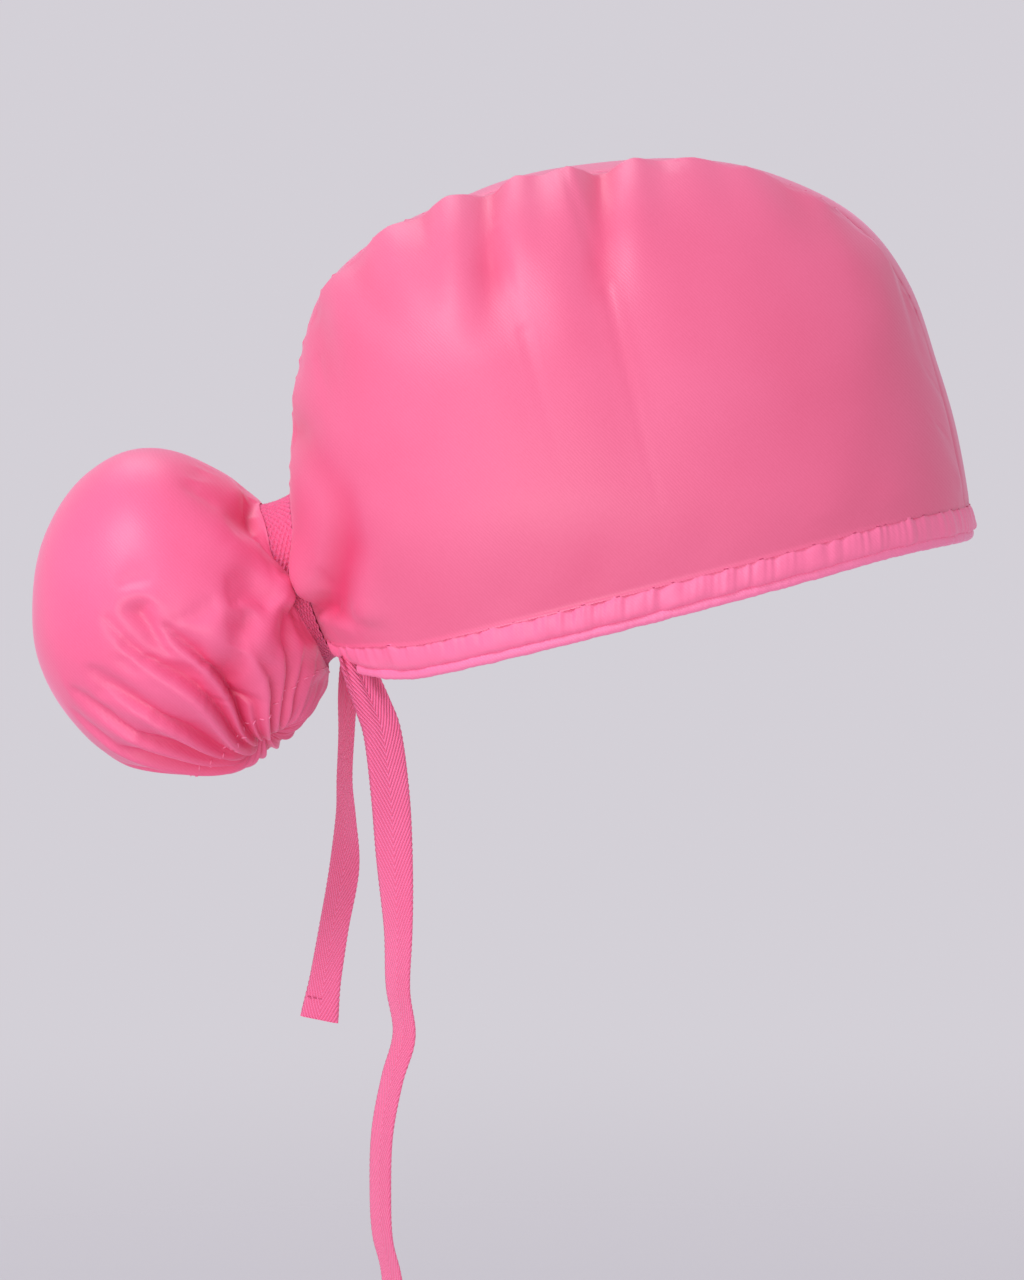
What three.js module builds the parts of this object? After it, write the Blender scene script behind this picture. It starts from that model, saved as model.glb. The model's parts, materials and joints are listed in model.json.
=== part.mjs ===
// A scrub cap with a bun pouch, in the shape it has when it is worn: a crown of three panels, a drawstring
// casing and a bound edge round the head, an elastic collar behind, a gathered pouch for a bun, and the two
// tails of the twill-tape drawstring.
//
// Millimetres, +X towards the face, +Y to the wearer's left, +Z up. The origin is the middle of the head
// opening, where a head holds the cap.
import * as THREE from "three";

// ---- Driving sizes -------------------------------------------------------------------------------------

const WALL = 1.4; // outer cloth and lining together
const GAP = 0.4; // clear space between neighbouring pieces

// A form is a closed round shape: its side outline as distances from a centre, and its half-width.
const CROWN = {
  centre: new THREE.Vector3(-8, 0, 45),
  halfWidth: 88,
  roundness: 2.3,
  outline: [
    { angle: -30, radius: 118 },
    { angle: -10, radius: 112.5 },
    { angle: 5, radius: 107 },
    { angle: 20, radius: 106 },
    { angle: 35, radius: 110 },
    { angle: 50, radius: 112 },
    { angle: 65, radius: 110.5 },
    { angle: 80, radius: 107.5 },
    { angle: 100, radius: 105 },
    { angle: 120, radius: 109.5 },
    { angle: 135, radius: 117 },
    { angle: 150, radius: 121.5 },
    { angle: 165, radius: 117 },
    { angle: 180, radius: 115 },
    { angle: 196, radius: 117 },
    { angle: 212, radius: 116 },
    { angle: 240, radius: 110 },
    { angle: 270, radius: 110 },
    { angle: 300, radius: 114 },
  ],
};
const NARROWING = { over: 50, by: 0.07 }; // the crown draws in below its widest part

const POUCH = {
  centre: new THREE.Vector3(-158, 0, 0),
  halfWidth: 51,
  roundness: 2.1,
  outline: [
    { angle: 18, radius: 39 },
    { angle: 56, radius: 44 },
    { angle: 80, radius: 49.5 },
    { angle: 104, radius: 56.5 },
    { angle: 122, radius: 57 },
    { angle: 150, radius: 53.5 },
    { angle: 175, radius: 51 },
    { angle: 198, radius: 51.5 },
    { angle: 224, radius: 51.5 },
    { angle: 250, radius: 54 },
    { angle: 290, radius: 54.5 },
    { angle: 320, radius: 53 },
    { angle: 342, radius: 50 },
  ],
};

// The two rims of the elastic collar: a direction from a form's centre, and half-angles up and across.
const CROWN_RING = { angle: 196.8, halfHigh: 14.3, halfWide: 12 };
const POUCH_RING = { angle: 17, halfHigh: 38.5, halfWide: 34 };
const COLLAR_WAIST = 1.2;

// The pouch's end is drawn shut, with folds that deepen towards it.
const GATHER = { angle: 305, sideways: 9, dimple: 6 };
const FOLDS = { count: 9, deep: 2.6 };

// The top panel, at the front hem, over the top of the head and at the collar.
const TOP_PANEL = { halfFront: 30, halfTop: 34, halfBack: 17 };
const SHOULDER = 30; // the angle where a side panel's upper edge starts
const PUFF = { high: 4, within: 9, fadesOver: 70 }; // the side panels are eased in, and stand up by the seam

const HEM = { atOrigin: 5.8, slope: 0.263, dipsPast: 60, dip: 0.0026, risesPast: -75, rise: 0.009 };
const CASING = { high: 9, highAtEnd: 4.5, thick: 3.4, reach: 0.975 };
const BINDING = { high: 3.6, thick: 3, inset: 1, reach: 0.92 };

const TAPE = { wide: 12.7, thick: 1.1 };
// The drawstring's tails: the centre line, and how far the tape's face is turned out of the side view.
const TAIL_RIGHT = [
  { x: -98.8, y: -29, z: -18.6, turn: 22 },
  { x: -94.7, y: -31, z: -28.4, turn: 14 },
  { x: -91.4, y: -32, z: -38.2, turn: 8 },
  { x: -89, y: -32, z: -57.7, turn: 0 },
  { x: -87.8, y: -31, z: -77.2, turn: -16 },
  { x: -86.6, y: -30, z: -101.7, turn: -40 },
  { x: -86.7, y: -30, z: -121.2, turn: -49 },
  { x: -84.7, y: -30, z: -137, turn: -52 },
  { x: -88.7, y: -30, z: -152, turn: -54 },
  { x: -92, y: -30, z: -170, turn: -54 },
  { x: -92.6, y: -30, z: -189.6, turn: -54 },
  { x: -91.9, y: -30, z: -204.2, turn: -55 },
  { x: -89, y: -30, z: -217, turn: -55 },
  { x: -87.5, y: -30, z: -236, turn: -52 },
];
const TAIL_LEFT = [
  { x: -103.4, y: 26, z: -19.5, turn: -44 },
  { x: -105.2, y: 28, z: -31, turn: -56 },
  { x: -105.8, y: 29, z: -43.6, turn: -62 },
  { x: -106.5, y: 29, z: -59, turn: -62 },
  { x: -106.1, y: 29, z: -72, turn: -54 },
  { x: -106.7, y: 29, z: -89.6, turn: -34 },
  { x: -110.3, y: 28.5, z: -110, turn: -35 },
  { x: -113.7, y: 28, z: -130.5, turn: -28 },
  { x: -115.4, y: 28, z: -141.7, turn: -16 },
];

const LOOKS = {
  satin: { color: 0xf17197, roughness: 0.5 },
  casing: { color: 0xf57fa6, roughness: 0.5 },
  pouch: { color: 0xf8709a, roughness: 0.5 },
  binding: { color: 0xeb6d8f, roughness: 0.85 },
  knit: { color: 0xc32553, roughness: 0.9 },
  tape: { color: 0xe95a86, roughness: 0.8 },
};

// ---- Points on the forms -------------------------------------------------------------------------------

const { degToRad, radToDeg, lerp, smoothstep, euclideanModulo } = THREE.MathUtils;
const steps = (n) => Array.from({ length: n + 1 }, (_, i) => i / n);

// A point in the middle plane, at an angle above the horizontal.
const inPlane = (degrees, size = 1) =>
  new THREE.Vector3(size * Math.cos(degToRad(degrees)), 0, size * Math.sin(degToRad(degrees)));

// The smooth value between the rows of an outline that goes once round.
function outlineRadius(outline, degrees) {
  const n = outline.length;
  const turn = euclideanModulo(degrees - outline[0].angle, 360);
  const starts = outline.map((row) => row.angle - outline[0].angle);
  const i = starts.findLastIndex((start) => start <= turn);
  const end = i + 1 < n ? starts[i + 1] : 360;
  const t = (turn - starts[i]) / (end - starts[i]);
  const [a, b, c, d] = [-1, 0, 1, 2].map((k) => outline[euclideanModulo(i + k, n)].radius);
  return b + (t / 2) * (c - a + t * (2 * a - 5 * b + 4 * c - d + t * (3 * b - a - 3 * c + d)));
}

// Where a ray from the form's centre meets the form.
function onForm(form, direction) {
  const n = form.roundness;
  const radius = outlineRadius(form.outline, radToDeg(Math.atan2(direction.z, direction.x)));
  const inSide = Math.hypot(direction.x, direction.z) / radius;
  const sideways = Math.abs(direction.y) / form.halfWidth;
  return form.centre.clone().addScaledVector(direction, (inSide ** n + sideways ** n) ** (-1 / n));
}

// The form's point at an angle in its side outline and a stated distance sideways.
function atSide(form, degrees, y) {
  const n = form.roundness;
  const inSide = (1 - (Math.abs(y) / form.halfWidth) ** n) ** (1 / n);
  return inPlane(degrees, inSide * outlineRadius(form.outline, degrees)).setY(y).add(form.centre);
}

// The axes of a collar rim: out of the form, and up along it.
function ringAxes(ring) {
  const out = inPlane(ring.angle);
  const up = inPlane(ring.angle + (out.x < 0 ? -90 : 90));
  return { out, up };
}

// A point of a collar rim: 0 is its top, 90 the wearer's left, 180 its bottom.
function onRing(form, ring, degrees) {
  const { out, up } = ringAxes(ring);
  const high = Math.tan(degToRad(ring.halfHigh)) * Math.cos(degToRad(degrees));
  const wide = Math.tan(degToRad(ring.halfWide)) * Math.sin(degToRad(degrees));
  return onForm(form, out.addScaledVector(up, high).setY(wide));
}

// How far out of a rim's middle a point is, where 1 is the rim itself, and at what place round it.
function placeInRing(form, ring, point) {
  const { out, up } = ringAxes(ring);
  const ray = point.clone().sub(form.centre);
  const high = ray.dot(up) / ray.dot(out) / Math.tan(degToRad(ring.halfHigh));
  const wide = ray.y / ray.dot(out) / Math.tan(degToRad(ring.halfWide));
  return { out: Math.hypot(high, wide), degrees: radToDeg(Math.atan2(wide, high)) };
}

// The value where a test turns from false to true.
function whereTrue(low, high, test) {
  for (let i = 0; i < 40; i++) {
    const middle = (low + high) / 2;
    if (test(middle)) high = middle;
    else low = middle;
  }
  return high;
}

// ---- Solids --------------------------------------------------------------------------------------------

// Faces are turned round where the volume they enclose comes out negative.
function solid(points, triangles) {
  const enclosed = triangles.reduce((sum, [a, b, c]) => {
    return sum + points[a].dot(new THREE.Vector3().crossVectors(points[b], points[c]));
  }, 0);
  const facingOut = enclosed < 0 ? triangles.map(([a, b, c]) => [a, c, b]) : triangles;
  const geometry = new THREE.BufferGeometry();
  geometry.setAttribute("position", new THREE.Float32BufferAttribute(points.flatMap((p) => p.toArray()), 3));
  geometry.setIndex(facingOut.flat());
  geometry.computeVertexNormals();
  return geometry;
}

// Closed rings of points joined one after another: in a loop, or with a fan of triangles on both ends.
function loft(rings, loop = false) {
  const across = rings[0].length;
  const points = rings.flat();
  const triangles = [];
  for (let i = 0; i < (loop ? rings.length : rings.length - 1); i++) {
    const [a, b] = [i * across, ((i + 1) % rings.length) * across];
    for (let j = 0; j < across; j++) {
      const k = (j + 1) % across;
      triangles.push([a + j, b + j, b + k], [a + j, b + k, a + k]);
    }
  }
  if (loop) return solid(points, triangles);
  for (const [row, last] of [[0, false], [rings.length - 1, true]]) {
    const middle = points.length;
    points.push(rings[row].reduce((sum, p) => sum.add(p), new THREE.Vector3()).divideScalar(across));
    for (let j = 0; j < across; j++) {
      const [a, b] = [row * across + j, row * across + ((j + 1) % across)];
      triangles.push(last ? [b, a, middle] : [a, b, middle]);
    }
  }
  return solid(points, triangles);
}

// A wall of cloth on a grid of outer points, its inner face moved towards the form's centre.
function clothWall(grid, centre) {
  const [rows, columns] = [grid.length, grid[0].length];
  const outer = grid.flat();
  const inner = outer.map((p) => p.clone().addScaledVector(p.clone().sub(centre).normalize(), -WALL));
  const triangles = [];
  const quad = (a, b, c, d) => triangles.push([a, b, c], [a, c, d]);
  const at = (i, j) => i * columns + j;
  for (let i = 0; i + 1 < rows; i++) {
    for (let j = 0; j + 1 < columns; j++) {
      const corners = [at(i, j), at(i + 1, j), at(i + 1, j + 1), at(i, j + 1)];
      quad(...corners);
      quad(...corners.map((k) => k + outer.length).reverse());
    }
  }
  const count = (n) => Array.from({ length: n }, (_, i) => i);
  const rim = [
    ...count(columns - 1).map((j) => at(0, j)),
    ...count(rows - 1).map((i) => at(i, columns - 1)),
    ...count(columns - 1).map((j) => at(rows - 1, columns - 1 - j)),
    ...count(rows - 1).map((i) => at(rows - 1 - i, 0)),
  ];
  rim.forEach((a, i) => {
    const b = rim[(i + 1) % rim.length];
    quad(a, b, b + outer.length, a + outer.length);
  });
  return solid([...outer, ...inner], triangles);
}

// ---- Crown ---------------------------------------------------------------------------------------------

// The casing's lower edge, at a distance forward: it dips at the brow and rises at the nape.
const hemBottom = (x) => {
  const ahead = Math.max(0, x - HEM.dipsPast);
  const behind = Math.max(0, HEM.risesPast - x);
  return HEM.atOrigin + HEM.slope * x - HEM.dip * ahead ** 2 + HEM.rise * behind ** 2;
};
const casingHigh = (x) => lerp(CASING.highAtEnd, CASING.high, smoothstep(x, -112, -88));
const casingTop = (x) => hemBottom(x) + casingHigh(x);
const crownFoot = (x) => casingTop(x) + GAP;

const narrowed = (p) =>
  p.setY(p.y * (1 - NARROWING.by * smoothstep(CROWN.centre.z - p.z, 0, NARROWING.over)));

const panelHalf = (degrees) => {
  const ahead = lerp(TOP_PANEL.halfFront, TOP_PANEL.halfTop, smoothstep(degrees, 0, 80));
  return lerp(ahead, TOP_PANEL.halfBack, smoothstep(degrees, 100, 180));
};

// The crown's point on a line that runs from brow to nape: -1 and 1 are the two seams of the top panel.
const onLine = (u, degrees, clear) => atSide(CROWN, degrees, u * (panelHalf(degrees) + clear));

// The angles where such a line meets the casing in front and the collar behind.
function lineEnds(u, clear) {
  const front = whereTrue(-30, 10, (a) => {
    const p = onLine(u, a, clear);
    return p.z > crownFoot(p.x);
  });
  const back = whereTrue(150, 196, (a) => placeInRing(CROWN, CROWN_RING, onLine(u, a, clear)).out < 1);
  return { front, back };
}

function topPanel() {
  const columns = steps(6).map((u) => {
    const across = lerp(-1, 1, u);
    const { front, back } = lineEnds(across, -GAP / 2);
    return steps(32).map((t) => narrowed(onLine(across, lerp(front, back, t), -GAP / 2)));
  });
  return clothWall(columns, CROWN.centre);
}

// The crown's point at a heading in plan, where it has the height that a rule gives for its x.
function atHeight(heading, heightAt) {
  const rayAt = (rise) => new THREE.Vector3(Math.cos(heading), Math.sin(heading), rise);
  const rise = whereTrue(-1.5, 1.5, (r) => {
    const p = onForm(CROWN, rayAt(r));
    return p.z > heightAt(p.x);
  });
  return onForm(CROWN, rayAt(rise));
}

// The heading where a line of that height runs into the collar.
const headingOfEnd = (heightAt) =>
  whereTrue(Math.PI / 2, Math.PI, (h) => placeInRing(CROWN, CROWN_RING, atHeight(h, heightAt)).out < 1);

// A side panel fills the space between the seam, the collar and the casing. Its grid is a blend of the four
// edges, pushed out onto the crown: the front edge is the seam's lower part.
function sidePanel(side) {
  const { front, back } = lineEnds(side, GAP / 2);
  const seamAt = (degrees) => onLine(side, degrees, GAP / 2);
  const corner = seamAt(front);
  const first = Math.atan2(Math.abs(corner.y), corner.x - CROWN.centre.x);
  const last = headingOfEnd(crownFoot);
  const ringStart = placeInRing(CROWN, CROWN_RING, seamAt(back)).degrees;
  const ringEnd = placeInRing(CROWN, CROWN_RING, atHeight(side * last, crownFoot)).degrees;
  const edges = {
    top: (s) => seamAt(lerp(SHOULDER, back, s)),
    front: (t) => seamAt(lerp(SHOULDER, front, t)),
    bottom: (s) => atHeight(side * lerp(first, last, s), crownFoot),
    back: (t) => onRing(CROWN, CROWN_RING, lerp(ringStart, ringEnd, t)),
  };
  const grid = steps(22).map((s) => steps(14).map((t) => {
    const blend = new THREE.Vector3();
    blend.addScaledVector(edges.top(s), 1 - t).addScaledVector(edges.bottom(s), t);
    blend.addScaledVector(edges.front(t), 1 - s).addScaledVector(edges.back(t), s);
    blend.addScaledVector(edges.top(0), -(1 - s) * (1 - t)).addScaledVector(edges.bottom(0), -(1 - s) * t);
    blend.addScaledVector(edges.top(1), -s * (1 - t)).addScaledVector(edges.bottom(1), -s * t);
    return puffed(onForm(CROWN, blend.sub(CROWN.centre)), s, t);
  }));
  return clothWall(grid, CROWN.centre);
}

// The side panel stands up a little beside the seam, and lies flat at the collar and the casing.
function puffed(p, s, t) {
  const ray = p.clone().sub(CROWN.centre);
  const beside = Math.max(0, Math.abs(p.y) - panelHalf(radToDeg(Math.atan2(ray.z, ray.x))) - GAP / 2);
  const edge = smoothstep(1 - s, 0, 0.15) * smoothstep(1 - t, 0, 0.2);
  const high = PUFF.high * edge * (1 - Math.exp(-beside / PUFF.within)) * Math.exp(-beside / PUFF.fadesOver);
  return narrowed(p.addScaledVector(ray.normalize(), high));
}

// ---- Casing and binding --------------------------------------------------------------------------------

// The rounded section of a flat band between its top and its foot.
function bandSection(top, foot, outward, thick) {
  const middle = top.clone().add(foot).divideScalar(2);
  const up = top.clone().sub(foot).divideScalar(2);
  const rounded = (value) => Math.sign(value) * Math.abs(value) ** 0.6;
  return steps(8).slice(0, -1).map((k) => {
    const a = (k + 1 / 16) * 2 * Math.PI;
    const p = middle.clone().addScaledVector(outward, (rounded(Math.cos(a)) * thick) / 2);
    return p.addScaledVector(up, rounded(Math.sin(a)));
  });
}

// A band's sections, from its right end over the brow to its left end.
function bandRound(reach, sectionAt) {
  const end = reach * headingOfEnd(casingTop);
  return steps(56).map((t) => {
    const heading = lerp(-end, end, t);
    const outward = new THREE.Vector3(Math.cos(heading), Math.sin(heading), 0);
    return sectionAt(heading, outward);
  });
}

function casing() {
  return loft(bandRound(CASING.reach, (heading, outward) => {
    const [top, foot] = [casingTop, hemBottom].map((edge) => {
      return narrowed(atHeight(heading, edge)).addScaledVector(outward, -WALL / 2);
    });
    return bandSection(top, foot, outward, CASING.thick);
  }));
}

function binding() {
  return loft(bandRound(BINDING.reach, (heading, outward) => {
    const top = narrowed(atHeight(heading, hemBottom)).addScaledVector(outward, -WALL / 2 - BINDING.inset);
    top.setZ(top.z - GAP);
    return bandSection(top, top.clone().setZ(top.z - BINDING.high), outward, BINDING.thick);
  }));
}

// ---- Collar and pouch ----------------------------------------------------------------------------------

// A knitted band between the crown's rim and the pouch's, a little narrower at its waist.
function collar() {
  const middle = onRing(CROWN, CROWN_RING, 0).add(onRing(CROWN, CROWN_RING, 180)).divideScalar(2);
  const sections = steps(40).slice(0, -1).map((turn) => {
    const near = narrowed(onRing(CROWN, CROWN_RING, turn * 360));
    const along = onRing(POUCH, POUCH_RING, turn * 360).sub(near);
    const inward = middle.clone().sub(near).projectOnPlane(along.clone().normalize()).normalize();
    const clear = GAP / along.length();
    const place = (t, depth) => near.clone().addScaledVector(along, t).addScaledVector(inward, depth);
    return [
      place(clear, 0),
      place(0.5, COLLAR_WAIST),
      place(1 - clear, 0),
      place(1 - clear, WALL),
      place(0.5, COLLAR_WAIST + WALL),
      place(clear, WALL),
    ];
  });
  return loft(sections, true);
}

const NECK_POLE = inPlane(POUCH_RING.angle);
const GATHER_POLE = inPlane(GATHER.angle).setY(-Math.tan(degToRad(GATHER.sideways))).normalize();

// A direction from the pouch's centre. The lines along the pouch lie on the circles through both poles: they
// leave the rim of the collar and close in on the gather.
function pouchDirection(around, along) {
  const start = onRing(POUCH, POUCH_RING, around).sub(POUCH.centre).normalize();
  const axis = start.clone().sub(NECK_POLE).cross(GATHER_POLE.clone().sub(NECK_POLE)).normalize();
  const middle = axis.clone().multiplyScalar(axis.dot(start));
  const arm = start.clone().sub(middle);
  const cross = axis.clone().cross(arm);
  const end = GATHER_POLE.clone().sub(middle);
  const sweep = along * euclideanModulo(Math.atan2(end.dot(cross), end.dot(arm)), 2 * Math.PI);
  return middle.addScaledVector(arm, Math.cos(sweep)).addScaledVector(cross, Math.sin(sweep)).normalize();
}

function pouch() {
  const ringAt = (along, depth) => steps(36).slice(0, -1).map((turn) => {
    const direction = pouchDirection(turn * 360, along);
    const fold = FOLDS.deep * smoothstep(along, 0.35, 0.9) * Math.cos(turn * FOLDS.count * 2 * Math.PI);
    const inward = depth + GATHER.dimple * smoothstep(along, 0.8, 1) + fold * (1 - smoothstep(along, 0.93, 1));
    return onForm(POUCH, direction).addScaledVector(direction, -inward);
  });
  const rows = steps(16).map((t) => 0.965 * (1 - (1 - t) ** 1.15));
  const outer = rows.map((along) => ringAt(along, 0));
  const inner = rows.map((along) => ringAt(along, WALL));
  return loft([...outer.reverse(), ...inner]);
}

// ---- Drawstring tails ----------------------------------------------------------------------------------

function tail(rows, count) {
  const route = new THREE.CatmullRomCurve3(rows.map((row) => new THREE.Vector3(row.x, row.y, row.z)));
  return loft(steps(count).map((t) => {
    const at = t * (rows.length - 1);
    const row = Math.min(Math.floor(at), rows.length - 2);
    const turn = degToRad(lerp(rows[row].turn, rows[row + 1].turn, at - row));
    const along = route.getTangent(t);
    const face = new THREE.Vector3(Math.cos(turn), Math.sin(turn), 0).projectOnPlane(along).normalize();
    const through = face.clone().cross(along).normalize();
    return steps(8).slice(0, -1).map((k) => {
      const a = (k + 1 / 16) * 2 * Math.PI;
      const [wide, thick] = [Math.cos(a), Math.sin(a)].map((v) => Math.sign(v) * Math.abs(v) ** 0.35);
      const p = route.getPoint(t).addScaledVector(face, (wide * TAPE.wide) / 2);
      return p.addScaledVector(through, (thick * TAPE.thick) / 2);
    });
  }));
}

// ---- The cap -------------------------------------------------------------------------------------------

const cap = new THREE.Group();
cap.name = "scrub_cap";

function add(name, geometry, look) {
  const mesh = new THREE.Mesh(geometry, new THREE.MeshStandardMaterial({ ...look, metalness: 0 }));
  mesh.name = name;
  cap.add(mesh);
}

add("crown_top_panel", topPanel(), LOOKS.satin);
add("crown_side_right", sidePanel(-1), LOOKS.satin);
add("crown_side_left", sidePanel(1), LOOKS.satin);
add("drawstring_casing", casing(), LOOKS.casing);
add("edge_binding", binding(), LOOKS.binding);
add("back_elastic", collar(), LOOKS.knit);
add("bun_pouch", pouch(), LOOKS.pouch);
add("tie_right", tail(TAIL_RIGHT, 44), LOOKS.tape);
add("tie_left", tail(TAIL_LEFT, 26), LOOKS.tape);

export default cap;
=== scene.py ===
# %% [markdown]
# # A scrub cap with a bun pouch
#
# A scrub cap covers the hair in an operating theatre. This one has a full crown of three panels of
# satin-faced cloth, a drawstring casing round the head, an elastic collar behind, and a round pouch that
# a bun of hair goes into. The lesson builds the cloth round a solid model that already has the right
# size, which is loaded first. Its pieces are called nodes, and everything made here stands in for one of
# them.
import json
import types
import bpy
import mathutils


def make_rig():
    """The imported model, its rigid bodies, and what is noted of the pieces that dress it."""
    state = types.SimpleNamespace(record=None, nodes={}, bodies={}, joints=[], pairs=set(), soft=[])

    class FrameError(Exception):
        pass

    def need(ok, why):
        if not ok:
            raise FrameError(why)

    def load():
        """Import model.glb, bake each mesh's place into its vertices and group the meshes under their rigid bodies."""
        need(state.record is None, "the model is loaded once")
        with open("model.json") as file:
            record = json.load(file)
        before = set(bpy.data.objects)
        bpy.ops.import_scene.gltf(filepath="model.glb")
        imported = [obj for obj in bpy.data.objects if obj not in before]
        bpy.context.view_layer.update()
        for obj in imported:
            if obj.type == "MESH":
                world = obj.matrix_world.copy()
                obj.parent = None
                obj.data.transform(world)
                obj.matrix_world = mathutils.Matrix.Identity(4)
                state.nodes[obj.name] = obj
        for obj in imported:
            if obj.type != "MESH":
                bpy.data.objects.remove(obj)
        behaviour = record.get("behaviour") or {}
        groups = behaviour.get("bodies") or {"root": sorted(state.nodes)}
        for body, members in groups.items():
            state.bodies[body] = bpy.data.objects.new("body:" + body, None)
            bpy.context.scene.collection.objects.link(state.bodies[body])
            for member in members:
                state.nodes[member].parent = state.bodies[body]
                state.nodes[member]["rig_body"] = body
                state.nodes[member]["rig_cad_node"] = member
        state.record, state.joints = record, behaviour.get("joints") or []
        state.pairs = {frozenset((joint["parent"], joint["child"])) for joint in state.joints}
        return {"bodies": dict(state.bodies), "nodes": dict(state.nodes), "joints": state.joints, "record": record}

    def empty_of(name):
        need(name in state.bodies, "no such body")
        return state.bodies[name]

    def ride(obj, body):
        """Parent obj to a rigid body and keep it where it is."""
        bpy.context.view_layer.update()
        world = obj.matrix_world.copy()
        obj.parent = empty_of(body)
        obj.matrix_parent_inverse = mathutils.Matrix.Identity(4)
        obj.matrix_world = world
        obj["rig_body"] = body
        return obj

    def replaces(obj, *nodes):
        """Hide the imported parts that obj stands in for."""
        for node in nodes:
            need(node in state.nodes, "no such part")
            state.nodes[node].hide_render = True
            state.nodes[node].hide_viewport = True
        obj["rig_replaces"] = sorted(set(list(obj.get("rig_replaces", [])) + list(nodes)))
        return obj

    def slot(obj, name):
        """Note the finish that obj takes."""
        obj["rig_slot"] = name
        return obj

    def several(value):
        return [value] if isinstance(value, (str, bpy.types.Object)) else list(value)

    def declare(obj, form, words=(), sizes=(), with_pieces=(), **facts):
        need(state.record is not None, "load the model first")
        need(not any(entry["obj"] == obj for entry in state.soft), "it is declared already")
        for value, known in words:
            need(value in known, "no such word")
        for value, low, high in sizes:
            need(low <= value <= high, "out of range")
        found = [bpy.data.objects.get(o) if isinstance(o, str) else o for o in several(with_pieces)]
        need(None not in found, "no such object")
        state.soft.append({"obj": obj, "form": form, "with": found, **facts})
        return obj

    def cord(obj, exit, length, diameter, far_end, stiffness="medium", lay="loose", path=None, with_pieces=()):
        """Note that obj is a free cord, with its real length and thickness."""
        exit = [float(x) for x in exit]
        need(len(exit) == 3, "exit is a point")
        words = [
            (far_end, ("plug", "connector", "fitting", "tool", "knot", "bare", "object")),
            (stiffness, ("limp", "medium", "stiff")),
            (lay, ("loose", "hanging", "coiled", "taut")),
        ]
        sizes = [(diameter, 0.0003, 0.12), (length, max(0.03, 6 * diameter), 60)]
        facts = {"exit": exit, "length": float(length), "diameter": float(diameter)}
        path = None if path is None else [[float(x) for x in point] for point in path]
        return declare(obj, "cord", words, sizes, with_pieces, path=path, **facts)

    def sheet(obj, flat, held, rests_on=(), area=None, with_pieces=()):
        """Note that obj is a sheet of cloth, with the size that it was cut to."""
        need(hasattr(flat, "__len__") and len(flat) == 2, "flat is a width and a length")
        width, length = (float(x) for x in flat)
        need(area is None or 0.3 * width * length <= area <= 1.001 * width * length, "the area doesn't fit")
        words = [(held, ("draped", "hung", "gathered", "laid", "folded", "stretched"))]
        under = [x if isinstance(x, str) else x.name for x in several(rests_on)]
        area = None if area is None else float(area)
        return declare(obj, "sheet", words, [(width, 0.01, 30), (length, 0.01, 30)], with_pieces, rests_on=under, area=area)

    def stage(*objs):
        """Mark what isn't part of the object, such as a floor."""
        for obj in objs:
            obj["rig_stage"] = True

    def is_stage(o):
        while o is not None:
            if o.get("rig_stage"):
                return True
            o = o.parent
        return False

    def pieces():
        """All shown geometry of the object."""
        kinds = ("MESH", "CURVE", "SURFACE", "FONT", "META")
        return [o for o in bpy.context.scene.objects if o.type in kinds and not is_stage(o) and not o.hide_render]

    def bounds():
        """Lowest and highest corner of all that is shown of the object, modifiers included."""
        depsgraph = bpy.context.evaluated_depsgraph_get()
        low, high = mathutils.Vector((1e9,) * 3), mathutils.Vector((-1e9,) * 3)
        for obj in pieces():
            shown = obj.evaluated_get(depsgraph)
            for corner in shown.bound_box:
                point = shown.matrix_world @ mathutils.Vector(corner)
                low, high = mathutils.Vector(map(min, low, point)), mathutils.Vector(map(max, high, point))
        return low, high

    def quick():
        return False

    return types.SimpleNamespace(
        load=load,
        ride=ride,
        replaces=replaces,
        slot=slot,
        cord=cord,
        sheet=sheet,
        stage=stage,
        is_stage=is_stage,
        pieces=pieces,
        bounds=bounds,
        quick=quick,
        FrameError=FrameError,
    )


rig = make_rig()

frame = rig.load()
cad_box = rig.bounds()

import json
import math

import bmesh
import bpy
import numpy as np
from mathutils import Vector

MM = 0.001  # lengths below are in millimetres, and Blender's are in metres
print("nodes:", ", ".join(frame["nodes"]))

# %% [markdown]
# ## The camera, the light and the floor
#
# The cap is seen square on from the wearer's right, from a little above. A long lens keeps the far side
# from shrinking. A soft light from the upper left gives the folds their shading. Two weaker ones, from
# above behind and from low in front, and the pale surroundings fill the rest. The brow faces away from
# the first light, so it is duller than the back. The floor is far below, because the cap is held up as a
# head holds it. It is a wide disc that fades out, so that no edge of it shows.

# %% The camera
AIM = Vector((-49.3, 0, -9.3)) * MM
CAMERA_AWAY = 1.3
CAMERA_RAISED = math.radians(4)
FLOOR_LEVEL, FLOOR_RADIUS = -0.6, 2.8
VIEW_HEIGHT = 0.42667  # what the picture spans from top to bottom at the cap's middle plane

scene = bpy.context.scene
camera_data = bpy.data.cameras.new("camera")
camera_data.sensor_width = 36
camera_data.lens = camera_data.sensor_width * CAMERA_AWAY / VIEW_HEIGHT
camera = bpy.data.objects.new("camera", camera_data)
scene.collection.objects.link(camera)
towards_camera = Vector((0, -math.cos(CAMERA_RAISED), math.sin(CAMERA_RAISED)))
camera.location = AIM + towards_camera * CAMERA_AWAY
camera.rotation_euler = (-towards_camera).to_track_quat("-Z", "Y").to_euler()
scene.camera = camera
print("lens", round(camera_data.lens, 1), "mm")


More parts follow.
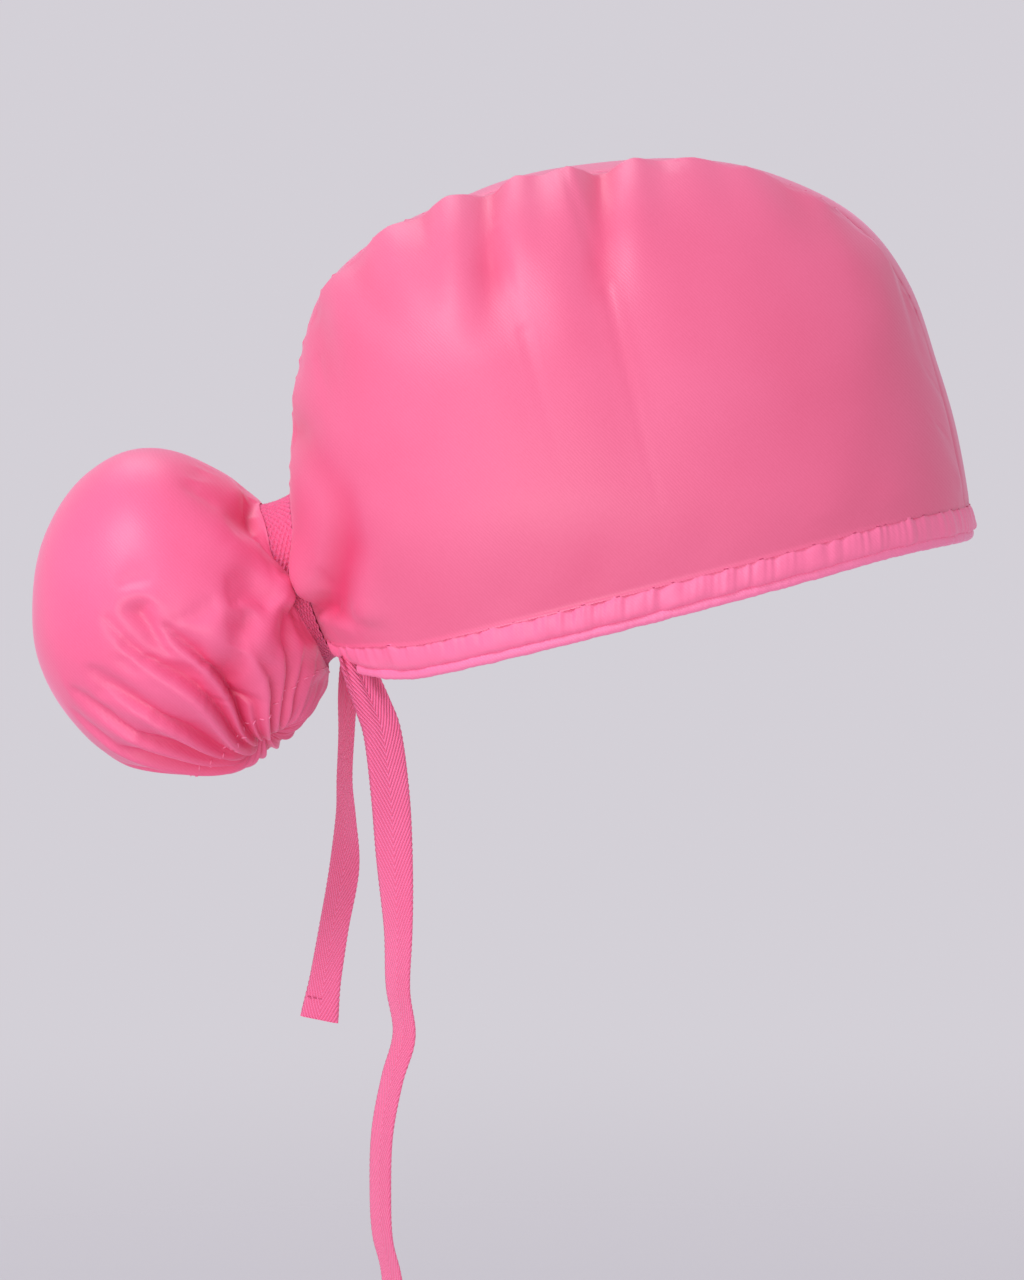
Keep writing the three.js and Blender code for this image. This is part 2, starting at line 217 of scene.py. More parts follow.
# %% The lights
LIGHTS = (  # name, place, width, power and colour
    ("key_light", (-1.1, -1.0, 1.25), 0.6, 14.5, (0.98, 0.98, 1.12)),
    ("top_light", (-0.5, 0.9, 1.5), 0.9, 5, (0.98, 0.98, 1.08)),
    ("low_light", (-0.5, -1.5, -0.35), 1.0, 9, (1, 0.97, 0.96)),
)
ROOM_COLOUR = (0.655, 0.63, 0.68, 1)


def area_light(name, place, size, power, colour):
    data = bpy.data.lights.new(name, "AREA")
    data.shape = "DISK"
    data.size, data.energy, data.color = size, power, colour
    light = bpy.data.objects.new(name, data)
    light.location = place
    light.rotation_euler = (AIM - light.location).to_track_quat("-Z", "Y").to_euler()
    scene.collection.objects.link(light)


for row in LIGHTS:
    area_light(*row)

bpy.ops.mesh.primitive_circle_add(vertices=96, radius=FLOOR_RADIUS, fill_type="NGON")
floor = bpy.context.object
floor.name = "floor"
for corner in floor.data.vertices:
    corner.co.z += FLOOR_LEVEL
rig.stage(floor)

world = bpy.data.worlds.new("pale_room")
world.use_nodes = True
world.node_tree.nodes["Background"].inputs["Color"].default_value = ROOM_COLOUR
world.node_tree.nodes["Background"].inputs["Strength"].default_value = 1.0
scene.world = world
scene.view_settings.view_transform = "Standard"


# %% [markdown]
# ## Writing a material as sums
#
# A material's pattern is easier to read as a sum than as a picture of wires. `Amount` wraps the output of
# a node and adds a Math node for each operator. `Finish` makes a material, and its `node` method adds any
# other node.

# %% The shader helpers
class Amount:
    """A number that varies over a surface, which can be used in sums."""

    def __init__(self, finish, socket):
        self.finish, self.socket = finish, socket

    def maths(self, operation, *values):
        return self.finish.node("ShaderNodeMath", {"operation": operation}, values)

    def __add__(self, other):
        return self.maths("ADD", self, other)

    def __sub__(self, other):
        return self.maths("SUBTRACT", self, other)

    def __rsub__(self, other):
        return self.maths("SUBTRACT", other, self)

    def __mul__(self, other):
        return self.maths("MULTIPLY", self, other)

    def __pow__(self, other):
        return self.maths("POWER", self, other)

    def sine(self):
        return self.maths("SINE", self)

    def size(self):
        return self.maths("ABSOLUTE", self)


class Finish:
    """A material whose nodes are added one call at a time."""

    def __init__(self, name):
        self.material = bpy.data.materials.new(name)
        self.material.use_nodes = True
        self.tree = self.material.node_tree
        self.surface = self.tree.nodes["Principled BSDF"]

    def node(self, kind, settings=None, values=(), out=0):
        """Adds a node. values is a list in socket order, or a dict of socket names."""
        made = self.tree.nodes.new(kind)
        for name, value in (settings or {}).items():
            setattr(made, name, value)
        self.fill(made, values)
        return Amount(self, made.outputs[out])

    def fill(self, made, values):
        pairs = values.items() if isinstance(values, dict) else enumerate(values)
        for key, value in pairs:
            if isinstance(value, Amount):
                self.tree.links.new(value.socket, made.inputs[key])
            elif value is not None:
                made.inputs[key].default_value = value

    def mix(self, amount, low, high):
        """A colour between two, by an amount from 0 to 1."""
        opaque = [(*c, 1) if isinstance(c, tuple) else c for c in (low, high)]
        values = {0: amount, 6: opaque[0], 7: opaque[1]}
        return self.node("ShaderNodeMix", {"data_type": "RGBA"}, values, 2)

    def noise(self, place, scale, detail=3.0, roughness=0.5):
        values = {"Vector": place, "Scale": scale, "Detail": detail, "Roughness": roughness}
        return self.node("ShaderNodeTexNoise", {}, values)

    def bump(self, height, distance):
        values = {"Height": height, "Distance": distance, "Strength": 1.0}
        return self.node("ShaderNodeBump", {}, values)

    def cover(self, colour, roughness, normal, sheen, softness, tint):
        """Fills the surface in as cloth with a soft edge of light."""
        values = {"Base Color": colour, "Roughness": roughness, "Normal": normal}
        soft = {"Sheen Weight": sheen, "Sheen Roughness": softness, "Sheen Tint": (*tint, 1)}
        self.fill(self.surface, {**values, **soft})
        return self.material

    def own_place(self):
        return self.node("ShaderNodeTexCoord", out=3)

    def parts_of(self, vector):
        """A vector's three numbers."""
        first = self.node("ShaderNodeSeparateXYZ", values=[vector])
        return [Amount(self, output) for output in first.socket.node.outputs]

    def attribute(self, name):
        """The three numbers of an attribute of the mesh."""
        return self.parts_of(self.node("ShaderNodeAttribute", {"attribute_name": name}, out=1))


print("helpers ready")

# %% [markdown]
# ## The cloths
#
# The crown and pouch are a satin-faced cloth with a peach-skin touch: it shines softly where it turns
# away from the light, and its weave is so fine that it shows only as a slight grain. Sheen gives the soft
# edge, a low bump gives the weave, and slow noise shifts the colour and the roughness a little. A deeper
# red is painted into the folds as painted shade. It is part of the cloth's colour and does not move with
# the light.


# %% Satin
FOLD_SHADE_COLOUR = (0.72, 0.025, 0.11)  # painted shade in the folds: a deeper red, for light that has crossed the cloth's folds several times


def satin(name, light, deep, weave=0.00006):
    finish = Finish(name)
    place = finish.own_place()
    cloudy = finish.noise(place, 22, 3)
    fine = finish.noise(place, 900, 2, 0.6)
    grain = finish.noise(place, 2600, 2, 0.7)
    x, _, z = finish.parts_of(place)
    twill = ((x + z) * 5200 + fine * 5).sine() * 0.5 + 0.5
    amount = cloudy * 0.6 + fine * 0.22 + twill * 0.18
    # Painted shade: a deeper red is mixed into the colour where the mesh marks the folds.
    fold_shade_amount = finish.attribute("fold_shade_paint")[0]
    colour = finish.mix(fold_shade_amount, finish.mix(amount, deep, light), FOLD_SHADE_COLOUR)
    normal = finish.bump(grain * 0.5 + fine * 0.4 + twill * 0.35, weave)
    finish.fill(finish.surface, {"Specular IOR Level": 0.5})
    return finish.cover(colour, cloudy * 0.16 + 0.34, normal, 0.3, 0.35, (1.0, 0.66, 0.9))


def floor_paint():
    """Matt and pale, and clearer towards the rim of the disc."""
    finish = Finish("floor_paint")
    x, y, _ = finish.parts_of(finish.own_place())
    away = (x * x + y * y) ** 0.5
    fade = finish.node(
        "ShaderNodeMapRange", {"interpolation_type": "SMOOTHSTEP"}, [away, 0.5, FLOOR_RADIUS - 0.1, 1.0, 0.0]
    )
    pale = {"Base Color": (0.66, 0.64, 0.67, 1), "Roughness": 0.9, "Specular IOR Level": 0.1}
    finish.fill(finish.surface, {**pale, "Alpha": fade})
    return finish.material


CROWN_SATIN = satin("crown_satin", (0.86, 0.162, 0.31), (0.75, 0.1, 0.21))
CASING_SATIN = satin("casing_satin", (1.0, 0.205, 0.4), (0.9, 0.145, 0.3))
POUCH_SATIN = satin("pouch_satin", (0.93, 0.165, 0.34), (0.82, 0.098, 0.225))
# The seam thread is the cloth's own pink. Its dark colour here is painted shade, for stitches sunk into the cloth.
SHADED_DARK_THREAD = satin("seam_thread_painted_shade", (0.66, 0.06, 0.18), (0.48, 0.03, 0.11), 0.00003)
PALE_THREAD = satin("gather_thread", (1.0, 0.26, 0.46), (0.92, 0.2, 0.38), 0.00003)
floor.data.materials.append(floor_paint())
print("satin finishes made")


# %% Twill tape
FUZZ_TINT = (1.0, 0.6, 0.75)
RIBS_PER_METRE, THREADS_PER_METRE = 430, 1900


def twill_tape():
    """Herringbone: slanting ribs that meet in a point along the middle of the tape."""
    finish = Finish("tie_tape")
    across, along, _ = finish.attribute("weave")
    ribs = ((along * RIBS_PER_METRE + across.size() * 6.2) * (2 * math.pi)).sine() * 0.5 + 0.5
    threads = (along * (2 * math.pi * THREADS_PER_METRE)).sine() * 0.5 + 0.5
    place = finish.own_place()
    fuzz = finish.noise(place, 1900, 3, 0.7)
    shade = finish.noise(place, 60, 2)
    amount = ribs ** 0.6 * 0.62 + fuzz * 0.18 + shade * 0.2
    colour = finish.mix(amount, (0.84, 0.07, 0.18), (1.0, 0.2, 0.42))
    normal = finish.bump(ribs * 0.9 + threads * 0.2 + fuzz * 0.2, 0.0003)
    return finish.cover(colour, 0.75, normal, 0.3, 0.5, FUZZ_TINT)


TIE_TAPE = twill_tape()


# %% Knitted elastic
def fuzzy(name, light, deep, scale, depth):
    finish = Finish(name)
    place = finish.own_place()
    loops = finish.node(
        "ShaderNodeTexVoronoi", {"feature": "F1"}, {"Vector": place, "Scale": scale, "Randomness": 0.9}
    )
    fuzz = finish.noise(place, scale * 2, 3, 0.7)
    amount = fuzz * 0.6 + (1 - loops) * 0.4
    colour = finish.mix(amount, deep, light)
    normal = finish.bump((1 - loops) + fuzz * 0.5, depth)
    return finish.cover(colour, 0.9, normal, 0.4, 0.6, FUZZ_TINT)


BINDING_SATIN = satin("binding_satin", (1.0, 0.24, 0.45), (0.9, 0.17, 0.35), 0.00012)
ELASTIC_KNIT = fuzzy("elastic_knit", (1.0, 0.19, 0.4), (0.78, 0.07, 0.19), 1500, 0.0002)
print("tape, binding and elastic finishes made")

# %% [markdown]
# ## The shape that the cloth follows
#
# The crown and the pouch are round forms. Each has a side outline, which is a short table of angles and
# distances from a centre, and a width. A superellipse joins the two: with a power a little over 2 it is
# fuller than an egg, as cloth over hair is. The solid model was made from the same tables, so the cloth
# lands on it.

# %% The forms
WALL = 1.2
CROWN = {
    "centre": (-8, 0, 45),
    "half_width": 88,
    "power": 2.3,
    "outline": (
        (-30, 118), (-10, 112.5), (5, 107), (20, 106), (35, 110), (50, 112), (65, 110.5),
        (80, 107.5), (100, 105), (120, 109.5), (135, 117), (150, 121.5), (165, 117), (180, 115),
        (196, 117), (212, 116), (240, 110), (270, 110), (300, 114),
    ),
}  # fmt: skip
POUCH = {
    "centre": (-158, 0, 0),
    "half_width": 51,
    "power": 2.1,
    "outline": (
        (18, 39), (56, 44), (80, 49.5), (104, 56.5), (122, 57), (150, 53.5), (175, 51),
        (198, 51.5), (224, 51.5), (250, 54), (290, 54.5), (320, 53), (342, 50),
    ),
}  # fmt: skip


def smoothstep(x, low, high):
    t = np.clip((np.asarray(x, float) - low) / (high - low), 0, 1)
    return t * t * (3 - 2 * t)


def hill(x, width):
    """A smooth hill, 1 where x is 0."""
    return np.exp(-((x / width) ** 2))


def unit(v):
    return v / np.linalg.norm(v, axis=-1, keepdims=True)


def curve(a, b, c, d, t):
    """A smooth line from b to c, with a before them and d after."""
    return b + t / 2 * (c - a + t * (2 * a - 5 * b + 4 * c - d + t * (3 * b - a - 3 * c + d)))


def outline_radius(form, degrees):
    """The smooth distance between the rows of a form's outline, which goes once round."""
    angles, radii = np.array(form["outline"], float).T
    turn = np.mod(np.asarray(degrees, float) - angles[0], 360)
    starts = np.append(angles - angles[0], 360)
    row = np.clip(np.searchsorted(starts, turn, side="right") - 1, 0, len(radii) - 1)
    t = (turn - starts[row]) / (starts[row + 1] - starts[row])
    return curve(*(radii[(row + k) % len(radii)] for k in (-1, 0, 1, 2)), t)


def on_form(form, rays):
    """Where rays from the form's centre meet the form."""
    rays = np.asarray(rays, float)
    radius = outline_radius(form, np.degrees(np.arctan2(rays[..., 2], rays[..., 0])))
    in_side = np.hypot(rays[..., 0], rays[..., 2]) / radius
    sideways = np.abs(rays[..., 1]) / form["half_width"]
    reach = (in_side ** form["power"] + sideways ** form["power"]) ** (-1 / form["power"])
    return np.array(form["centre"]) + rays * reach[..., None]


def at_side(form, degrees, y):
    """The form's points at an angle in its side outline and a distance sideways."""
    degrees, y = np.broadcast_arrays(np.asarray(degrees, float), np.asarray(y, float))
    reach = (1 - (np.abs(y) / form["half_width"]) ** form["power"]) ** (1 / form["power"])
    reach = reach * outline_radius(form, degrees)
    a = np.radians(degrees)
    return np.array(form["centre"]) + np.stack([reach * np.cos(a), y, reach * np.sin(a)], -1)


def where_true(low, high, test, shape=()):
    """The values where a test turns from false to true, found by halving."""
    low, high = np.full(shape, float(low)), np.full(shape, float(high))
    for _ in range(36):
        middle = (low + high) / 2
        passed = test(middle)
        high, low = np.where(passed, middle, high), np.where(passed, low, middle)
    return high


print("crown is", round(float(outline_radius(CROWN, 0) + outline_radius(CROWN, 180))), "mm long")

# %% The rims, the hem and the top panel's seams
CROWN_RING = {"angle": 196.8, "half_high": 14.3, "half_wide": 12}
POUCH_RING = {"angle": 17, "half_high": 38.5, "half_wide": 34}
CENTRE = np.array(CROWN["centre"], float)


def ring_axes(ring):
    a = math.radians(ring["angle"])
    side = 1 if math.cos(a) > 0 else -1
    out = np.array([math.cos(a), 0, math.sin(a)])
    up = np.array([-math.sin(a) * side, 0, math.cos(a) * side])
    return out, up


def on_ring(form, ring, degrees):
    """Points of a collar rim: 0 is its top, 90 the wearer's left, 180 its bottom."""
    out, up = ring_axes(ring)
    t = np.radians(np.asarray(degrees, float))[..., None]
    high = math.tan(math.radians(ring["half_high"])) * np.cos(t)
    wide = math.tan(math.radians(ring["half_wide"])) * np.sin(t)
    return on_form(form, out + up * high + np.array([0, 1, 0]) * wide)


def place_in_ring(form, ring, points):
    out, up = ring_axes(ring)
    rays = np.asarray(points) - np.array(form["centre"])
    high = rays @ up / (rays @ out) / math.tan(math.radians(ring["half_high"]))
    wide = rays[..., 1] / (rays @ out) / math.tan(math.radians(ring["half_wide"]))
    return np.hypot(high, wide), np.degrees(np.arctan2(wide, high))


def narrowed(points):
    """The crown draws in below its widest part."""
    points = np.array(points, float)
    points[..., 1] *= 1 - 0.07 * smoothstep(CENTRE[2] - points[..., 2], 0, 50)
    return points


def hem_bottom(x):
    ahead, behind = np.maximum(0, x - 60), np.maximum(0, -75 - x)
    return 5.8 + 0.263 * x - 0.0026 * ahead**2 + 0.009 * behind**2


def casing_top(x):
    return hem_bottom(x) + 4.5 + 4.5 * smoothstep(x, -112, -88)


def panel_half(degrees):
    ahead = 30 + 4 * smoothstep(degrees, 0, 80)
    return ahead + (17 - ahead) * smoothstep(degrees, 100, 180)


def on_line(across, degrees):
    return at_side(CROWN, degrees, across * panel_half(degrees))


def line_ends(across):
    across = np.asarray(across, float)

    def over_hem(a):
        p = on_line(across, a)
        return p[..., 2] > casing_top(p[..., 0])

    def in_ring(a):
        return place_in_ring(CROWN, CROWN_RING, on_line(across, a))[0] < 1

    return where_true(-30, 10, over_hem, across.shape), where_true(150, 196, in_ring, across.shape)


def at_height(heading, height_at):
    """The crown's points at headings in plan, at the height that a rule gives for their x."""
    heading = np.asarray(heading, float)
    ray = lambda rise: np.stack([np.cos(heading), np.sin(heading), rise], -1)

    def over(rise):
        p = on_form(CROWN, ray(rise))
        return p[..., 2] > height_at(p[..., 0])

    return on_form(CROWN, ray(where_true(-1.5, 1.5, over, heading.shape)))


def end_heading(height_at):
    test = lambda h: place_in_ring(CROWN, CROWN_RING, at_height(h, height_at))[0] < 1
    return float(where_true(math.pi / 2, math.pi, test))


front_seam, back_seam = (float(a) for a in line_ends(1.0))
print("the seams run from", round(front_seam), "to", round(back_seam), "degrees")

# %% [markdown]
# ## Turning points into cloth
#
# Each piece of cloth is a grid of points. `cloth_wall` gives it a second face and closes its edges, so it
# is a real wall and not a sheet of no thickness. `finished` makes the mesh, and gives it its finish and
# its place in the model.


# %% Meshes from grids
def finished(name, points, faces, material):
    mesh = bpy.data.meshes.new(name)
    mesh.from_pydata((np.asarray(points) * MM).tolist(), [], [list(map(int, f)) for f in faces])
    mesh.validate()
    mesh.materials.append(material)
    mesh.shade_smooth()
    mesh.update()
    piece = bpy.data.objects.new(name, mesh)
    scene.collection.objects.link(piece)
    face_outwards(piece)
    return piece


def paint_fold_shade(piece, depth):
    """Stores how much painted shade each point takes, from 0 to 1, on both faces of a wall: more where it is folded
    deeper.
    """
    both = np.clip(np.concatenate([depth.ravel(), depth.ravel()]), 0, 1)
    vectors = np.stack([both, both, both], -1).ravel()
    piece.data.attributes.new("fold_shade_paint", "FLOAT_VECTOR", "POINT").data.foreach_set("vector", vectors)


def face_outwards(piece):
    """Turns a closed mesh's faces round where the volume inside comes out negative."""
    work = bmesh.new()
    work.from_mesh(piece.data)
    if work.calc_volume(signed=True) < 0:
        bmesh.ops.reverse_faces(work, faces=work.faces)
    work.to_mesh(piece.data)
    work.free()


def grid_faces(rows, columns, round_rows=False, round_columns=False):
    i = np.arange(rows if round_rows else rows - 1)[:, None]
    j = np.arange(columns if round_columns else columns - 1)[None, :]
    at = lambda a, b: (a % rows) * columns + b % columns
    quads = [at(i, j), at(i + 1, j), at(i + 1, j + 1), at(i, j + 1)]
    return np.stack([np.broadcast_to(q, (len(i), j.shape[1])).ravel() for q in quads], -1)


def cloth_wall(grid, away, round_columns=False):
    """Points and faces of a wall of cloth with its inner face moved in."""
    rows, columns = grid.shape[:2]
    outward = unit(grid - away)
    count = rows * columns
    points = np.concatenate([grid.reshape(-1, 3), (grid - outward * WALL).reshape(-1, 3)])
    outer = grid_faces(rows, columns, round_columns=round_columns)
    faces = [*outer, *(outer[:, ::-1] + count)]
    ids = np.arange(count).reshape(rows, columns)
    if round_columns:
        rims = [np.append(ids[0], ids[0, 0]), np.append(ids[-1], ids[-1, 0])[::-1]]
    else:
        loop = [*ids[0], *ids[1:, -1], *ids[-1, -2::-1], *ids[-2:0:-1, 0], ids[0, 0]]
        rims = [np.array(loop)]
    for rim in rims:
        faces += [(b, a, a + count, b + count) for a, b in zip(rim[:-1], rim[1:])]
    return points, faces


def tube(name, grid, material):
    """A closed tube from rings of points, with its two ends closed."""
    rows, columns = grid.shape[:2]
    faces = list(grid_faces(rows, columns, round_columns=True))
    faces += [tuple(range(columns))[::-1], tuple(range((rows - 1) * columns, rows * columns))]
    return finished(name, grid.reshape(-1, 3), faces, material)


def finer(grid, round_columns=False):
    """A grid with twice the rows and columns, smooth through the points it had."""

    def doubled(values, closed):
        if closed:
            before, after, later = (np.roll(values, k, 0) for k in (1, -1, -2))
        else:
            onward = lambda v: np.concatenate([v[1:], 2 * v[-1:] - v[-2:-1]])
            before, after = onward(values[::-1])[::-1], onward(values)
            later = onward(after)
        middle = (9 * (values + after) - before - later) / 16
        both = np.stack([values, middle], 1).reshape(-1, *values.shape[1:])
        return both if closed else both[:-1]

    fine = doubled(grid, False)
    return np.swapaxes(doubled(np.swapaxes(fine, 0, 1), round_columns), 0, 1)


print("mesh helpers ready")

# %% [markdown]
# ## Letting cloth settle
#
# The folds of the side panels and the pouch are drawn from tables. Blender's Cloth then relaxes them, so
# that they run into each other as cloth does: the piece starts in its worn place, its rest shape is a
# little larger, and its sewn edges are pinned. A light pressure stands in for the hair inside. The
# settling moves a side panel by a fraction of a millimetre and the pouch by a little more, so most of
# every fold is the tables' work.

# %% The settling helper
SIM_SCALE = 0.01  # the cloth settles as a model ten times larger, where Blender's cloth is steadier
CLOTH = {
    "quality": 6,
    "mass": 0.3,
    "tension_stiffness": 40,
    "compression_stiffness": 40,
    "shear_stiffness": 12,
    "tension_damping": 12,
    "compression_damping": 12,
    "air_damping": 3,
}


def settled(name, start, rest, pins, frames, pressure, bending, round_columns=False):
    """The grid after its cloth has settled, without gravity. start and rest are grids in millimetres, and
    pins is a grid of 0 to 1."""
    rows, columns = start.shape[:2]
    mesh = bpy.data.meshes.new(name)
    faces = grid_faces(rows, columns, round_columns=round_columns)
    mesh.from_pydata((start.reshape(-1, 3) * SIM_SCALE).tolist(), [], [list(map(int, f)) for f in faces])
    cloth = bpy.data.objects.new(name, mesh)
    scene.collection.objects.link(cloth)
    cloth.shape_key_add(name="worn")
    key = cloth.shape_key_add(name="cut")
    key.data.foreach_set("co", (rest.reshape(-1, 3) * SIM_SCALE).ravel())
    group = cloth.vertex_groups.new(name="sewn")
    for index in np.flatnonzero(pins.ravel() > 0):
        group.add([int(index)], float(pins.ravel()[index]), "REPLACE")
    modifier = cloth.modifiers.new("cloth", "CLOTH")
    settings = modifier.settings
    settings.vertex_group_mass = "sewn"
    settings.rest_shape_key = key
    for key_name, value in CLOTH.items():
        setattr(settings, key_name, value)
    settings.bending_stiffness = bending
    settings.use_pressure = True
    settings.uniform_pressure_force = pressure
    settings.effector_weights.gravity = 0.0
    modifier.collision_settings.use_collision = False
    modifier.point_cache.frame_start, modifier.point_cache.frame_end = 1, frames
    for step in range(1, frames + 1):
        scene.frame_set(step)
    shown = cloth.evaluated_get(bpy.context.evaluated_depsgraph_get())
    result = np.empty(len(mesh.vertices) * 3)
    shown.to_mesh().vertices.foreach_get("co", result)
    shown.to_mesh_clear()
    bpy.data.objects.remove(cloth)
    bpy.data.meshes.remove(mesh)
    scene.frame_set(1)
    return result.reshape(start.shape) / SIM_SCALE


print("cloth helper ready")

# %% [markdown]
# ## Rows of stitches
#
# A machine stitch is a short loop of thread pulled into the cloth, so a row of them is the same small
# shape many times over. Geometry Nodes puts one plump dash on each point of a row, turned along the seam
# and tipped a little by chance, and the result is made into a plain mesh.

# %% The stitch maker
def stitch_group():
    group = bpy.data.node_groups.new("stitch_row", "GeometryNodeTree")
    face = group.interface
    face.new_socket("Row", in_out="INPUT", socket_type="NodeSocketGeometry")
    sizes = {"Stitch length": 2.0, "Thread width": 0.5}
    for name, size in sizes.items():
        face.new_socket(name, in_out="INPUT", socket_type="NodeSocketFloat").default_value = size
    face.new_socket("Seed", in_out="INPUT", socket_type="NodeSocketInt").default_value = 5
    face.new_socket("Thread", in_out="INPUT", socket_type="NodeSocketMaterial")
    face.new_socket("Stitches", in_out="OUTPUT", socket_type="NodeSocketGeometry")

    def node(kind, settings=None, **values):
        made = group.nodes.new(kind)
        for name, value in (settings or {}).items():
            setattr(made, name, value)
        for key, value in values.items():
            socket = made.inputs[int(key[1:])] if key[0] == "i" and key[1:].isdigit() else made.inputs[key]
            if isinstance(value, bpy.types.NodeSocket):
                group.links.new(value, socket)
            else:
                socket.default_value = value
        return made

    given = node("NodeGroupInput").outputs
    vector = {"data_type": "FLOAT_VECTOR"}
    along = node("GeometryNodeInputNamedAttribute", vector, Name="along").outputs[0]
    upward = node("GeometryNodeInputNamedAttribute", vector, Name="upward").outputs[0]
    chance = node("FunctionNodeRandomValue", vector, i0=(-0.09,) * 3, i1=(0.09,) * 3, Seed=given["Seed"])
    tipped = node("ShaderNodeVectorMath", {"operation": "ADD"}, i0=along, i1=chance.outputs[0]).outputs[0]
    axes = {"primary_axis": "X", "secondary_axis": "Z"}
    turn = node("FunctionNodeAxesToRotation", axes, i0=tipped, i1=upward).outputs[0]
    dash = node("GeometryNodeMeshUVSphere", Segments=6, Rings=5, Radius=0.5).outputs[0]
    width = given["Thread width"]
    size = node("ShaderNodeCombineXYZ", X=given["Stitch length"], Y=width, Z=width).outputs[0]
    points = node("GeometryNodeMeshToPoints", Mesh=given["Row"]).outputs[0]
    placed = node("GeometryNodeInstanceOnPoints", Points=points, Instance=dash, Rotation=turn, Scale=size)
    real = node("GeometryNodeRealizeInstances", Geometry=placed.outputs[0]).outputs[0]
    painted = node("GeometryNodeSetMaterial", Geometry=real, Material=given["Thread"]).outputs[0]
    group.links.new(painted, node("NodeGroupOutput").inputs[0])
    return group


STITCHES = stitch_group()


def stitches(name, line, upward, pitch, long, wide, slot, thread=SHADED_DARK_THREAD):
    """A row of stitches along a line of points, sunk into the cloth that lies below upward. The thread that it takes
    unless told otherwise is dark with painted shade.
    """
    run = np.append(0, np.cumsum(np.linalg.norm(np.diff(line, axis=0), axis=1)))
    even = np.arange(pitch / 2, run[-1], pitch)
    spread = lambda values: np.stack([np.interp(even, run, column) for column in values.T], -1)
    mesh = bpy.data.meshes.new(name + "_row")
    mesh.from_pydata((spread(line) * MM).tolist(), [], [])
    for key, values in (("along", np.gradient(line, run, axis=0)), ("upward", upward)):
        mesh.attributes.new(key, "FLOAT_VECTOR", "POINT").data.foreach_set("vector", spread(values).ravel())
    row = bpy.data.objects.new(name + "_row", mesh)
    scene.collection.objects.link(row)
    modifier = row.modifiers.new("stitches", "NODES")
    modifier.node_group = STITCHES
    inputs = {"Stitch length": long * MM, "Thread width": wide * MM, "Seed": 5, "Thread": thread}
    for socket in STITCHES.interface.items_tree:
        if socket.in_out == "INPUT" and socket.name in inputs:
            modifier[socket.identifier] = inputs[socket.name]
    bpy.context.view_layer.update()
    made = bpy.data.meshes.new_from_object(row.evaluated_get(bpy.context.evaluated_depsgraph_get()))
    bpy.data.objects.remove(row)
    for key in [a.name for a in made.attributes if a.name in ("along", "upward")]:
        made.attributes.remove(made.attributes[key])
    made.name = name
    made.shade_smooth()
    piece = bpy.data.objects.new(name, made)
    scene.collection.objects.link(piece)
    face_outwards(piece)
    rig.ride(piece, "root")
    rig.slot(piece, slot)
    print(name, len(even), "stitches")
    return piece


# %% [markdown]
# ## The drawstring's ties
#
# The drawstring is a flat cotton tape, half an inch wide and woven in a herringbone. Its two ends hang
# from the casing, the near one long and the far one short, and each is folded under and stitched. A flat
# tape keeps its width and turns as it hangs, so each row of the route gives a point and the turn of the
# tape's face.

# %% Routes of the ties
TAPE_WIDE = 12.7
TAPE_THICK = 0.9
TAPE_STEP = 0.9  # between the rows of points along a tape
SEAM_IN = 1.2  # the end's line of stitches, in from the folded edge
END_FOLD = 8.0  # how much of each end is folded under
# Columns: x, y, z of the middle of the tape, and how far its face is turned from the side view.
TIE_RIGHT = (
    (-101.5, -28, -11.5, 30), (-98.8, -29, -18.6, 22), (-94.7, -31, -28.4, 14), (-91.4, -32, -38.2, 8),
    (-89, -32, -57.7, 0), (-87.8, -31, -77.2, -16), (-86.6, -30, -101.7, -40), (-86.7, -30, -121.2, -49),
    (-84.7, -30, -137, -52), (-88.7, -30, -152, -54), (-92, -30, -170, -54), (-92.6, -30, -189.6, -54),
    (-91.9, -30, -204.2, -55), (-89, -30, -217, -55), (-87.5, -30, -236, -52),
)  # fmt: skip
TIE_LEFT = (
    (-102, 25, -13, -40), (-103.4, 26, -19.5, -44), (-105.2, 28, -31, -56), (-105.8, 29, -43.6, -62),
    (-106.5, 29, -59, -62), (-106.1, 29, -72, -54), (-106.7, 29, -89.6, -34), (-110.3, 28.5, -110, -35),
    (-113.7, 28, -130.5, -28), (-115.4, 28, -141.7, -16),
)  # fmt: skip


def smooth_route(rows, count):
    """A table's rows joined by a smooth line, at even steps of length."""
    rows = np.array(rows, float)
    padded = np.concatenate([2 * rows[:1] - rows[1:2], rows, 2 * rows[-1:] - rows[-2:-1]])
    t = np.linspace(0, len(rows) - 1, 40 * len(rows))
    i = np.minimum(t.astype(int), len(rows) - 2)
    f = (t - i)[:, None]
    line = curve(*(padded[i + k] for k in range(4)), f)
    run = np.append(0, np.cumsum(np.linalg.norm(np.diff(line[:, :3], axis=0), axis=1)))
    even = np.linspace(0, run[-1], count)
    return np.stack([np.interp(even, run, column) for column in line.T], -1), run[-1]


